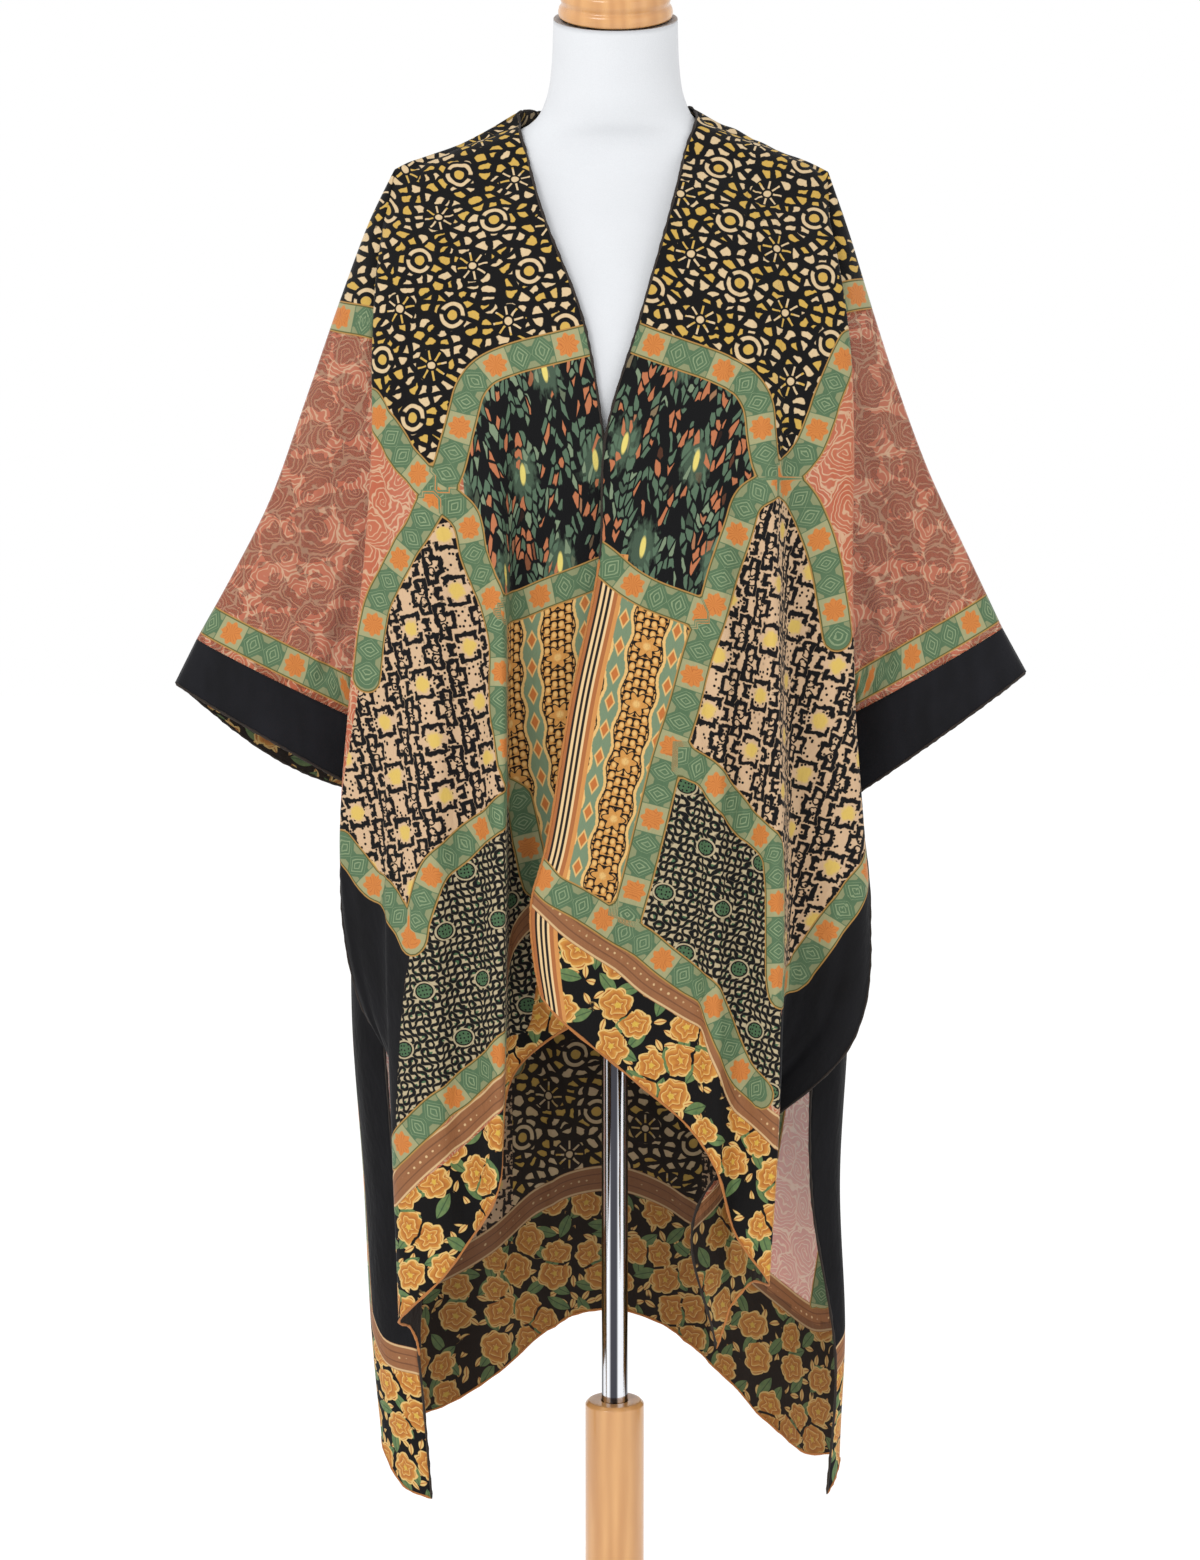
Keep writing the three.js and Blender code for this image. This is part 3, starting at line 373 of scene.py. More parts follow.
def write_field(piece: bpy.types.Object, name: str, values: np.ndarray) -> None:
    """Stores one number for each vertex of a piece."""
    attribute = piece.data.attributes.new(name, "FLOAT", "POINT")
    attribute.data.foreach_set("value", values.astype(np.float32).ravel())


def grid_normals(grid: np.ndarray, loop: bool = False) -> np.ndarray:
    """Unit normals of a grid of points."""
    if loop:
        across = np.roll(grid, -1, axis=1) - np.roll(grid, 1, axis=1)
    else:
        across = np.gradient(grid, axis=1)
    normal = np.cross(across, np.gradient(grid, axis=0))
    return normal / np.maximum(np.linalg.norm(normal, axis=-1, keepdims=True), 1e-9)


def tube(name: str, line: np.ndarray, radius: float, material: bpy.types.Material,
         ragged: float = 0.0, sides: int = 7) -> bpy.types.Object:
    """Makes a rolled edge along a line.

    Args:
        name: the piece's name.
        line: the points that it follows, in millimetres.
        radius: half its thickness in millimetres.
        material: its finish.
        ragged: how far the radius wanders, as a share.
        sides: faces round it.

    Returns:
        The object.
    """
    step = np.gradient(line, axis=0)
    step /= np.maximum(np.linalg.norm(step, axis=1, keepdims=True), 1e-9)
    guide = np.where(np.abs(step[:, 1:2]) > 0.85, np.array([[1.0, 0, 0]]), np.array([[0, 1.0, 0]]))
    one = np.cross(step, guide)
    one /= np.linalg.norm(one, axis=1, keepdims=True)
    two = np.cross(step, one)
    k = np.arange(len(line))
    wander = 0.6 * np.sin(k * 1.9) + 0.4 * np.sin(k * 0.73 + 1) + 0.3 * np.sin(k * 4.1)
    size = radius * (1 + ragged * wander)
    size[[0, -1]] *= 0.4
    turn = np.linspace(0, 2 * np.pi, sides, endpoint=False)
    ring = (np.cos(turn)[None, :, None] * one[:, None] + np.sin(turn)[None, :, None] * two[:, None])
    points = (line[:, None] + ring * size[:, None, None]).reshape(-1, 3)
    faces = grid_faces(len(line), sides, loop=True, flip=True)
    faces.append(tuple(range(sides)))
    faces.append(tuple(len(points) - 1 - i for i in range(sides)))
    return make_object(name, points, faces, [material])


def lathe(name: str, profile: Sequence[tuple[float, float]], material: bpy.types.Material,
          sides: int = 96) -> bpy.types.Object:
    """Turns a closed profile of radius and height, from its lowest middle point to its highest."""
    turn = np.linspace(0, 2 * np.pi, sides, endpoint=False)
    rings = [np.stack((r * np.cos(turn), r * np.sin(turn), np.full(sides, z)), 1) for r, z in profile[1:-1]]
    points = np.concatenate([[(0, 0, profile[0][1])], *rings, [(0, 0, profile[-1][1])]])
    faces = [(0, 1 + (j + 1) % sides, 1 + j) for j in range(sides)]
    for i in range(len(rings) - 1):
        a, b = 1 + i * sides, 1 + (i + 1) * sides
        faces += [(a + j, a + (j + 1) % sides, b + (j + 1) % sides, b + j) for j in range(sides)]
    last = 1 + (len(rings) - 1) * sides
    faces += [(last + j, last + (j + 1) % sides, len(points) - 1) for j in range(sides)]
    return make_object(name, points, faces, [material])


def dye(red: int, green: int, blue: int) -> Colour:
    """Turns an everyday colour of 0 to 255 into the renderer's linear one."""
    parts = [c / 255 for c in (red, green, blue)]
    linear = [c / 12.92 if c <= 0.04045 else ((c + 0.055) / 1.055) ** 2.4 for c in parts]
    return (linear[0], linear[1], linear[2], 1.0)


class Num:
    """A number in a shader graph that takes part in plain arithmetic."""

    def __init__(self, graph: "Graph", socket: bpy.types.NodeSocket) -> None:
        """Keeps the graph and the socket."""
        self.graph = graph
        self.socket = socket

    def __add__(self, other: "Value") -> "Num":
        """Sum."""
        return self.graph.math("ADD", self, other)

    def __radd__(self, other: "Value") -> "Num":
        """Sum, the other way round."""
        return self.graph.math("ADD", other, self)

    def __sub__(self, other: "Value") -> "Num":
        """Difference."""
        return self.graph.math("SUBTRACT", self, other)

    def __rsub__(self, other: "Value") -> "Num":
        """Difference, the other way round."""
        return self.graph.math("SUBTRACT", other, self)

    def __mul__(self, other: "Value") -> "Num":
        """Product."""
        return self.graph.math("MULTIPLY", self, other)

    def __rmul__(self, other: "Value") -> "Num":
        """Product, the other way round."""
        return self.graph.math("MULTIPLY", other, self)

    def __truediv__(self, other: "Value") -> "Num":
        """Quotient."""
        return self.graph.math("DIVIDE", self, other)

    def __abs__(self) -> "Num":
        """Size without sign."""
        return self.graph.math("ABSOLUTE", self)


Value = Union[Num, float, int]
Tint = Union[bpy.types.NodeSocket, Colour]


class Graph:
    """Builds the nodes of one material."""

    def __init__(self, name: str) -> None:
        """Starts an empty material."""
        self.material = bpy.data.materials.new(name)
        self.material.use_nodes = True
        self.tree = self.material.node_tree
        self.tree.nodes.clear()

    def node(self, kind: str, **settings: object) -> bpy.types.Node:
        """Adds a node with its settings."""
        made = self.tree.nodes.new(kind)
        for key, value in settings.items():
            setattr(made, key, value)
        return made

    def feed(self, socket: bpy.types.NodeSocket, value: object) -> None:
        """Links a value to a socket, or sets it there when it is constant."""
        if isinstance(value, Num):
            self.tree.links.new(value.socket, socket)
        elif isinstance(value, bpy.types.NodeSocket):
            self.tree.links.new(value, socket)
        else:
            socket.default_value = value

    def math(self, operation: str, *values: Value, clamp: bool = False) -> Num:
        """One step of arithmetic."""
        made = self.node("ShaderNodeMath", operation=operation, use_clamp=clamp)
        for socket, value in zip(made.inputs, values):
            self.feed(socket, value)
        return Num(self, made.outputs[0])

    def mix(self, share: Value, under: Tint, over: Tint, blend: str = "MIX") -> bpy.types.NodeSocket:
        """Lays one colour over another."""
        made = self.node("ShaderNodeMix", data_type="RGBA", blend_type=blend)
        self.feed(made.inputs[0], share)
        self.feed(made.inputs[6], under)
        self.feed(made.inputs[7], over)
        return made.outputs[2]

    def field(self, name: str) -> Num:
        """A number kept on the mesh."""
        made = self.node("ShaderNodeAttribute", attribute_type="GEOMETRY", attribute_name=name)
        return Num(self, made.outputs["Fac"])

    def place(self, x: Value, y: Value) -> bpy.types.NodeSocket:
        """A flat position from two numbers."""
        made = self.node("ShaderNodeCombineXYZ")
        self.feed(made.inputs[0], x)
        self.feed(made.inputs[1], y)
        return made.outputs[0]

    def noise(self, x: Value, y: Value, detail: float = 2.0) -> Num:
        """Cloudy number from 0 to 1 with features about one unit wide."""
        made = self.node("ShaderNodeTexNoise", noise_dimensions="2D")
        self.tree.links.new(self.place(x, y), made.inputs["Vector"])
        made.inputs["Scale"].default_value = 1.0
        made.inputs["Detail"].default_value = detail
        return Num(self, made.outputs[0])

    def cells(self, x: Value, y: Value, feature: str = "F1", spread: float = 1.0) -> bpy.types.Node:
        """Scattered cells about one unit wide."""
        made = self.node("ShaderNodeTexVoronoi", voronoi_dimensions="2D", feature=feature)
        self.tree.links.new(self.place(x, y), made.inputs["Vector"])
        made.inputs["Scale"].default_value = 1.0
        made.inputs["Randomness"].default_value = spread
        return made

    def gap(self, x: Value, y: Value, spread: float = 1.0) -> Num:
        """Distance to the nearest border between scattered cells."""
        return Num(self, self.cells(x, y, "DISTANCE_TO_EDGE", spread).outputs["Distance"])

    def parts(self, socket: bpy.types.NodeSocket) -> tuple[Num, Num, Num]:
        """The three numbers of a vector or colour."""
        made = self.node("ShaderNodeSeparateXYZ")
        self.tree.links.new(socket, made.inputs[0])
        return Num(self, made.outputs[0]), Num(self, made.outputs[1]), Num(self, made.outputs[2])

    def chance(self, x: Value, y: Value) -> Num:
        """A fixed random number for each whole position."""
        made = self.node("ShaderNodeTexWhiteNoise", noise_dimensions="2D")
        self.tree.links.new(self.place(x, y), made.inputs["Vector"])
        return Num(self, made.outputs["Value"])

    def below(self, value: Value, limit: Value, soft: float = 0.5) -> Num:
        """1 where a value lies under a limit, with a soft edge."""
        return self.math("ADD", (limit - value) / soft, 0.5, clamp=True)

    def line(self, value: Num, half: Value, soft: float = 0.5) -> Num:
        """1 within a half width of a value's zero."""
        return self.below(abs(value), half, soft)

    def either(self, *masks: Num) -> Num:
        """The stronger of several masks."""
        out = masks[0]
        for mask in masks[1:]:
            out = self.math("MAXIMUM", out, mask)
        return out

    def length(self, x: Value, y: Value) -> Num:
        """Distance from the origin."""
        return self.math("SQRT", x * x + y * y)

    def fraction(self, value: Num) -> Num:
        """The part of a number after the point."""
        return self.math("FRACT", value)

    def finished(self, surface: bpy.types.Node) -> bpy.types.Material:
        """Joins the surface to the output, and hands the material over."""
        out = self.node("ShaderNodeOutputMaterial")
        self.tree.links.new(surface.outputs[0], out.inputs[0])
        return self.material


@dataclass(frozen=True)
class Ink:
    """One print at a point: its colour, and how much pile stands there."""

    colour: Tint
    pile: Value


@dataclass(frozen=True)
class Pebbles:
    """Cream and yellow stones, ring rosettes and petal stars burnt out of black pile."""

    ground: Colour = dye(13, 12, 13)
    cream: Colour = dye(222, 197, 156)
    yellow: Colour = dye(208, 170, 74)
    across: tuple[float, float] = (73.0, 25.0)
    down: tuple[float, float] = (21.0, -56.0)

    def repeat(self, g: Graph, x: Num, y: Num, shift: float) -> tuple[Num, Num]:
        """Position inside the slanting repeat, measured from its middle."""
        (ax, ay), (bx, by) = self.across, self.down
        area = ax * by - ay * bx
        i = g.fraction((x * by - y * bx) / area + shift) - 0.5
        j = g.fraction((y * ax - x * ay) / area + shift) - 0.5
        return i * ax + j * bx, i * ay + j * by

    def paint(self, g: Graph, x: Num, y: Num) -> Ink:
        """Lays the print out at a position in millimetres."""
        wander = (g.noise(x * 0.09, y * 0.09) - 0.5) * 5
        sx, sy = x + wander, y - wander
        edge = g.gap(sx / 12.5, sy / 10.0, 0.9) * 10.0
        cell = g.cells(sx / 12.5, sy / 10.0, "F1", 0.9)
        stone = g.below(2.1 - edge, 0.0, 0.5) * g.below(Num(g, cell.outputs["Distance"]), 0.47, 0.06)
        pick, which, _ = g.parts(cell.outputs["Color"])
        rx, ry = self.repeat(g, x + wander * 0.5, y, 0.0)
        r = g.length(rx, ry)
        angle = g.math("ARCTAN2", ry, rx)
        ring = g.line(r - 10.2, 1.7) * g.below(0.22 - abs(g.math("SINE", angle + 0.5)), 0.0, 0.1)
        dot = g.below(r, 4.6)
        px, py = self.repeat(g, x, y + wander * 0.5, 0.5)
        pr = g.length(px, py)
        turn = g.math("ARCTAN2", py, px)
        petals = g.line(pr - 9.2, 4.0) * g.below(abs(g.math("SINE", turn * 4)) * pr, 3.4, 0.9)
        star = g.either(petals, g.below(pr, 3.3))
        free = g.below(14.6 - r, 0.0, 0.6) * g.below(15.0 - pr, 0.0, 0.6)
        mask = g.either(stone * free, ring, dot, star)
        warm = g.either(g.below(0.55, pick, 0.05) * free, dot, petals * g.below(0.5, which, 0.05))
        tone = g.mix(warm, self.cream, self.yellow)
        shade = g.noise(x * 0.4, y * 0.4)
        tone = g.mix(shade * 0.35, tone, dye(176, 140, 92))
        return Ink(g.mix(mask, self.ground, tone), 1 - mask)


@dataclass(frozen=True)
class GreenBand:
    """Green band of nested diamonds and orange rosettes between olive edge lines."""

    width: float = 28.0
    pitch: float = 64.0
    green: Colour = dye(92, 118, 86)
    pale: Colour = dye(146, 163, 124)
    cream: Colour = dye(206, 190, 140)
    orange: Colour = dye(204, 126, 60)
    olive: Colour = dye(86, 88, 46)

    def paint(self, g: Graph, t: Num, s: Num) -> Ink:
        """Lays the band out from the distance across it and the length along it."""
        u = abs(g.fraction(s / self.pitch) * self.pitch - self.pitch / 2)
        across = abs(t)
        haze = g.noise(s * 0.11, t * 0.2)
        tone = g.mix(haze * 0.55, self.green, dye(64, 96, 66))
        v = abs(u - 22.4)
        m = v / 9.6 + across / 12.4
        strokes = g.below(g.fraction(m * 2.9 + 0.15), 0.34, 0.12) * g.below(m, 1.02, 0.04)
        tone = g.mix(strokes * (0.45 + haze * 0.5), tone, self.pale)
        corner = g.below(1.3 - m, 0.0, 0.06) * g.below(6.5 - across, 0.0, 0.6) * g.below(12.8 - u, 0.0, 0.5)
        tone = g.mix(corner * 0.3, tone, self.cream)
        box = g.below(g.math("MAXIMUM", u, across), 12.0, 0.6)
        r = g.length(u, across)
        turn = g.math("ARCTAN2", across, u)
        reach = g.math("COSINE", turn * 8) * 1.3 + 9.4
        flower = g.below(r, reach, 0.8)
        tone = g.mix(box * 0.5, tone, self.cream)
        vein = g.below(abs(g.math("SINE", turn * 8)), 0.3, 0.3) * g.below(r, 8.0, 1.0)
        petal = g.mix(vein * 0.6, self.orange, dye(168, 92, 42))
        tone = g.mix(flower, tone, petal)
        rim = g.below(self.width / 2 - 2.2 - across, 0.0, 0.5)
        tone = g.mix(rim, tone, self.olive)
        gilt = g.line(across - (self.width / 2 - 0.5), 0.7, 0.5)
        tone = g.mix(gilt * 0.8, tone, dye(190, 140, 74))
        return Ink(tone, 0.12)


@dataclass(frozen=True)
class Ikat:
    """Broken grey-green and peach dashes on black, round soft medallions with yellow lenses."""

    ground: Colour = dye(12, 13, 15)
    leaf: Colour = dye(84, 108, 86)
    pale: Colour = dye(122, 140, 112)
    peach: Colour = dye(184, 112, 74)
    lens: Colour = dye(224, 206, 112)

    def paint(self, g: Graph, x: Num, y: Num) -> Ink:
        """Lays the print out at a position in millimetres."""
        zig = abs(g.fraction(x / 34) - 0.5) * 34
        sway = (g.noise(x * 0.15, y * 0.05) - 0.5) * 7
        sx, sy = x + sway * 0.5, y + zig * 1.25 + sway
        edge = g.gap(sx / 5.0, sy / 11.0)
        pick, which, _ = g.parts(g.cells(sx / 5.0, sy / 11.0).outputs["Color"])
        dash = g.below(0.13 - edge, 0.0, 0.07) * g.below(0.40, pick, 0.04)
        tone = g.mix(g.below(0.72, which, 0.05), self.leaf, self.peach)
        tone = g.mix(g.below(which, 0.16, 0.05), tone, self.pale)
        i = g.fraction(x / 62 + g.math("FLOOR", y / 82) * 0.5) * 62 - 31
        j = g.fraction(y / 82) * 82 - 41
        m = g.length(i / 15, j / 27)
        glow = g.below(m + (g.noise(x * 0.3, y * 0.12) - 0.5) * 0.9, 0.75, 0.35)
        under = g.mix(glow * 0.6, self.ground, self.leaf)
        ink = g.mix(dash, under, tone)
        spot = g.below(g.length(i / 2.6, j / 10), 0.9, 0.3)
        ink = g.mix(spot, ink, self.lens)
        return Ink(ink, 1 - g.either(dash, glow, spot))


@dataclass(frozen=True)
class KeyFret:
    """Black square hooks and dots on peach cream, round yellow blooms."""

    ground: Colour = dye(208, 175, 140)
    ink: Colour = dye(15, 14, 16)
    bloom: Colour = dye(216, 184, 96)
    half: float = 24.0

    def bar(self, g: Graph, x: Num, y: Num, box: tuple[float, float, float, float]) -> Num:
        """A rounded stroke that fills a box of x from, x to, y from, y to."""
        x0, x1, y0, y1 = box
        dx = abs(x - (x0 + x1) / 2) - (x1 - x0) / 2
        dy = abs(y - (y0 + y1) / 2) - (y1 - y0) / 2
        return g.below(g.math("MAXIMUM", dx, dy), 0.55, 0.7)

    def paint(self, g: Graph, x: Num, y: Num) -> Ink:
        """Lays the print out at a position in millimetres."""
        wx = x + (g.noise(x * 0.13, y * 0.13) - 0.5) * 5.5
        wy = y + (g.noise(x * 0.13 + 40, y * 0.13) - 0.5) * 5.5
        column = g.math("FLOOR", wx / (2 * self.half))
        a = g.math("PINGPONG", wx, self.half)
        b = g.math("PINGPONG", wy + g.math("FRACT", column * 0.5) * 2 * self.half, self.half)
        strokes = (
            (0.6, 3.4, -2, 15.5), (0.6, 10.5, 12.9, 15.5), (8.2, 11.0, 6.0, 15.5),
            (8.2, 17.0, 4.6, 7.4), (14.2, 17.0, -2.0, 7.4), (14.4, 26.0, 11.4, 14.2),
            (14.4, 17.2, 11.4, 19.0), (5.5, 8.3, 19.0, 26.0), (5.5, 11.5, 18.6, 21.4),
        )
        lines = g.either(*[self.bar(g, a, b, box) for box in strokes])
        eye = g.line(g.length(a - 6.2, b - 4.2) - 3.0, 0.75)
        far = g.length(a - self.half, b - self.half)
        cell = g.cells(x / 4.6, y / 4.6)
        pick, _, _ = g.parts(cell.outputs["Color"])
        dots = g.below(Num(g, cell.outputs["Distance"]), 0.25, 0.08) * g.below(0.42, pick, 0.05)
        dots = dots * g.below(7.0 - far, 0.0, 0.6)
        bloom = g.below(far + (g.noise(x * 0.5, y * 0.5) - 0.5) * 3, 6.6, 3.0)
        tone = g.mix(bloom, self.ground, self.bloom)
        mask = g.either(lines, eye, dots) * g.below(6.0 - far, 0.0, 1.0)
        return Ink(g.mix(mask, tone, self.ink), mask)


@dataclass(frozen=True)
class Brocade:
    """Upright strips of gold beads with black crescents, between wavy green vines."""

    pitch: float = 46.0
    gold: Colour = dye(208, 148, 76)
    light: Colour = dye(228, 184, 114)
    black: Colour = dye(24, 17, 13)
    vine: Colour = dye(118, 138, 108)
    rust: Colour = dye(190, 112, 54)

    def paint(self, g: Graph, x: Num, y: Num) -> Ink:
        """Lays the print out at a position in millimetres."""
        wave = g.math("SINE", y * 0.19)
        u = g.fraction(x / self.pitch + 0.5) * self.pitch - self.pitch / 2
        v = self.pitch / 2 - abs(u)
        rough = (g.noise(x * 0.35, y * 0.35) - 0.5) * 2.4
        step = g.math("FLOOR", abs(u) / 6.2)
        bx = g.fraction(abs(u) / 6.2) * 6.2 - 3.1
        by = g.fraction(y / 8.6 + step * 0.5) * 8.6 - 4.3
        r = g.length(bx, by * 0.85) + rough * 0.35
        shade = g.below(2.5 - r, 0.0, 0.5) * g.below(bx * 0.5 - by, 2.4, 1.2)
        tone = g.mix(g.below(r, 1.6, 1.6), self.gold, self.light)
        tone = g.mix(shade, tone, self.black)
        sy = g.fraction(y / 50) * 50 - 25
        reach = g.math("COSINE", g.math("ARCTAN2", sy, u) * 6) * 2.2 + 8.0
        star = g.length(u, sy)
        tone = g.mix(g.below(star, reach + 1.4, 0.6), tone, self.black)
        tone = g.mix(g.below(star, reach, 0.6), tone, self.gold)
        tone = g.mix(g.below(star, 3.0, 2.0), tone, self.light)
        half = wave * 1.6 + 7.4 + rough * 0.6
        tone = g.mix(g.below(v, half + 2.6, 0.6), tone, self.black)
        tone = g.mix(g.below(v, half + 1.5, 0.6), tone, self.light)
        tone = g.mix(g.below(v, half - 1.0, 0.6), tone, self.vine)
        ly = g.fraction(y / 24) * 24 - 12
        lozenge = v / 4.6 + abs(ly) / 9.0
        tone = g.mix(g.below(lozenge, 1.0, 0.2), tone, self.light)
        tone = g.mix(g.below(lozenge, 0.72, 0.2), tone, self.rust)
        return Ink(tone, shade * 0.9 * g.below(half + 2.6 - v, 0.0, 0.6))


@dataclass(frozen=True)
class Labyrinth:
    """Small black winding paths on cream with scattered green buttons."""

    cell: float = 6.4
    cream: Colour = dye(186, 170, 136)
    black: Colour = dye(15, 16, 16)
    green: Colour = dye(74, 104, 72)

    def paint(self, g: Graph, x: Num, y: Num) -> Ink:
        """Lays the print out at a position in millimetres."""
        sx = x / self.cell + (g.noise(x * 0.1, y * 0.1) - 0.5) * 1.2
        sy = y / self.cell
        i, j = g.math("FLOOR", sx), g.math("FLOOR", sy)
        flip = g.below(g.chance(i, j), 0.5, 0.001)
        fx, fy = g.fraction(sx), g.fraction(sy)
        fx = fx + flip * (1 - fx * 2)
        near = g.math("MINIMUM", g.length(fx, fy), g.length(1 - fx, 1 - fy))
        first = abs(g.length(fx, fy) - 0.5)
        second = abs(g.length(1 - fx, 1 - fy) - 0.5)
        path = g.below(g.math("MINIMUM", first, second), 0.225, 0.09)
        tint = g.below(0.72, g.chance(i + 31, j + 7), 0.02) * g.below(near, 0.36, 0.08)
        tone = g.mix(tint, self.cream, self.green)
        tone = g.mix(path, tone, self.black)
        bx = g.fraction(x / 58 + g.math("FLOOR", y / 47) * 0.5) * 58 - 29
        by = g.fraction(y / 47) * 47 - 23.5
        m = g.length(bx, by * 1.25)
        pips = g.below(Num(g, g.cells(x / 3.4, y / 3.4, "F1", 0.4).outputs["Distance"]), 0.24, 0.1)
        tone = g.mix(g.below(m, 10.2, 0.5), tone, self.cream)
        tone = g.mix(g.below(m, 8.6, 0.5), tone, self.black)
        tone = g.mix(g.below(m, 7.2, 0.5), tone, g.mix(pips, self.green, self.black))
        return Ink(tone, g.either(path, g.line(m - 7.9, 0.8)) * 0.9)


@dataclass(frozen=True)
class DottedBorder:
    """Brown border with cream stitches of dye and twin edge lines."""

    width: float = 25.0
    brown: Colour = dye(156, 104, 66)
    cream: Colour = dye(216, 182, 134)

    def paint(self, g: Graph, t: Num, s: Num) -> Ink:
        """Lays the border out from the distance across it and the length along it."""
        haze = g.noise(s * 0.05, t * 0.5)
        tone = g.mix(haze * 0.6, self.brown, dye(128, 84, 56))
        dots = g.below(g.length(g.fraction(s / 7.5) * 7.5 - 3.75, t), 1.15, 0.6)
        tone = g.mix(dots, tone, self.cream)
        tone = g.mix(g.line(abs(t) - 4.4, 0.6) * 0.7, tone, dye(104, 66, 44))
        tone = g.mix(g.line(abs(t) - (self.width / 2 - 1.4), 0.9) * 0.9, tone, self.cream)
        return Ink(tone, 0.1)


@dataclass(frozen=True)
class Peonies:
    """Gold and orange peonies with green leaves and small sprigs on black pile."""

    ground: Colour = dye(13, 12, 13)
    gold: Colour = dye(212, 150, 66)
    deep: Colour = dye(172, 100, 42)
    edge: Colour = dye(226, 188, 116)
    leaf: Colour = dye(66, 102, 66)

    def leaves(self, g: Graph, x: Num, y: Num, size: float, shift: float) -> tuple[Num, Num]:
        """Scattered pointed leaves: their mask, and the mask of their midribs."""
        lx, ly = x / size + shift, y / size - shift
        cell = g.cells(lx, ly, "F1", 0.9)
        cx, cy, _ = g.parts(cell.outputs["Position"])
        pick, _, _ = g.parts(cell.outputs["Color"])
        dx, dy = (lx - cx) * size, (ly - cy) * size
        c, s = g.math("COSINE", pick * 6.28), g.math("SINE", pick * 6.28)
        ax, ay = dx * c + dy * s, dy * c - dx * s
        reach = 1 - ax * ax / (size * 0.46) ** 2
        blade = g.below(abs(ay), reach * size * 0.2, 0.5)
        return blade, g.line(ay, 0.45) * blade

    def paint(self, g: Graph, x: Num, y: Num) -> Ink:
        """Lays the print out at a position in millimetres."""
        size = 35.0
        wx = x + (g.noise(x * 0.08, y * 0.08) - 0.5) * 8
        sx, sy = wx / size, y / size
        cell = g.cells(sx, sy, "F1", 0.72)
        cx, cy, _ = g.parts(cell.outputs["Position"])
        pick, which, _ = g.parts(cell.outputs["Color"])
        dx, dy = (sx - cx) * size, (sy - cy) * size
        r = g.length(dx, dy)
        turn = g.math("ARCTAN2", dy, dx) + pick * 6.28
        scallop = abs(g.math("SINE", turn * 3.5)) * 2.4 + g.math("SINE", turn * 2) * 1.2
        reach = scallop + 11.0 + which * 4.0
        room = g.gap(sx, sy, 0.72) * size
        bloom = g.below(r, reach, 0.6) * g.below(1.2 - room, 0.0, 0.6)
        layer = g.fraction(r / reach * 2.7 + abs(g.math("SINE", turn * 2.5)) * 0.55 + 0.2)
        petal = g.mix(layer, self.deep, self.gold)
        petal = g.mix(g.below(0.84 - layer, 0.0, 0.1) * 0.85, petal, self.edge)
        petal = g.mix(g.below(reach - 1.5 - r, 0.0, 0.6), petal, self.edge)
        petal = g.mix(g.below(r, 2.4, 1.2) * 0.8, petal, dye(214, 178, 70))
        broad, rib = self.leaves(g, x, y, 27.0, 0.37)
        small, vein = self.leaves(g, x, y, 13.0, 3.7)
        sprig = small * g.below(0.45, g.noise(x * 0.03 + 9, y * 0.03), 0.02)
        tone = g.mix(sprig, self.ground, g.mix(vein, self.edge, self.deep))
        green = g.mix(g.noise(x * 0.2, y * 0.2), self.leaf, dye(120, 140, 84))
        tone = g.mix(broad, tone, g.mix(rib * 0.7, green, dye(34, 56, 40)))
        tone = g.mix(bloom, tone, petal)
        return Ink(tone, 1 - g.either(bloom, broad, sprig))


@dataclass(frozen=True)
class Scrolls:
    """Sheer salmon chiffon drawn over with thin cream spirals."""

    base: Colour = dye(206, 104, 72)
    light: Colour = dye(218, 134, 102)
    line: Colour = dye(240, 204, 166)

    def paint(self, g: Graph, x: Num, y: Num) -> Ink:
        """Lays the print out at a position in millimetres."""
        wx = x + (g.noise(x * 0.05, y * 0.05) - 0.5) * 18
        wy = y + (g.noise(x * 0.05 + 20, y * 0.05) - 0.5) * 18
        sx, sy = wx / 27, wy / 38
        cell = g.cells(sx, sy, "F1", 0.85)
        cx, cy, _ = g.parts(cell.outputs["Position"])
        dx, dy = (sx - cx) * 27, (sy - cy) * 38
        r = g.length(dx, dy)
        coil = g.fraction(r / 4.4 - g.math("ARCTAN2", dy, dx) / (2 * math.pi))
        thread = g.below(abs(coil - 0.5) * 4.4, 0.52, 0.4)
        seam = g.below(g.gap(sx, sy, 0.85) * 27, 0.7, 0.5)
        haze = g.noise(x * 0.02, y * 0.02)
        tone = g.mix(haze, self.base, self.light)
        return Ink(g.mix(g.either(thread, seam) * 0.8, tone, self.line), 0.0)


@dataclass(frozen=True)
class PlainPile:
    """Plain black velvet."""

    ground: Colour = dye(12, 12, 14)

    def paint(self, g: Graph, x: Num, y: Num) -> Ink:
        """Lays the pile out at a position in millimetres."""
        nap = g.noise(x * 0.05, y * 0.02)
        return Ink(g.mix(nap, self.ground, dye(24, 24, 28)), 1.0)


Print = Union[Pebbles, Ikat, KeyFret, Brocade, Labyrinth, Peonies, PlainPile]


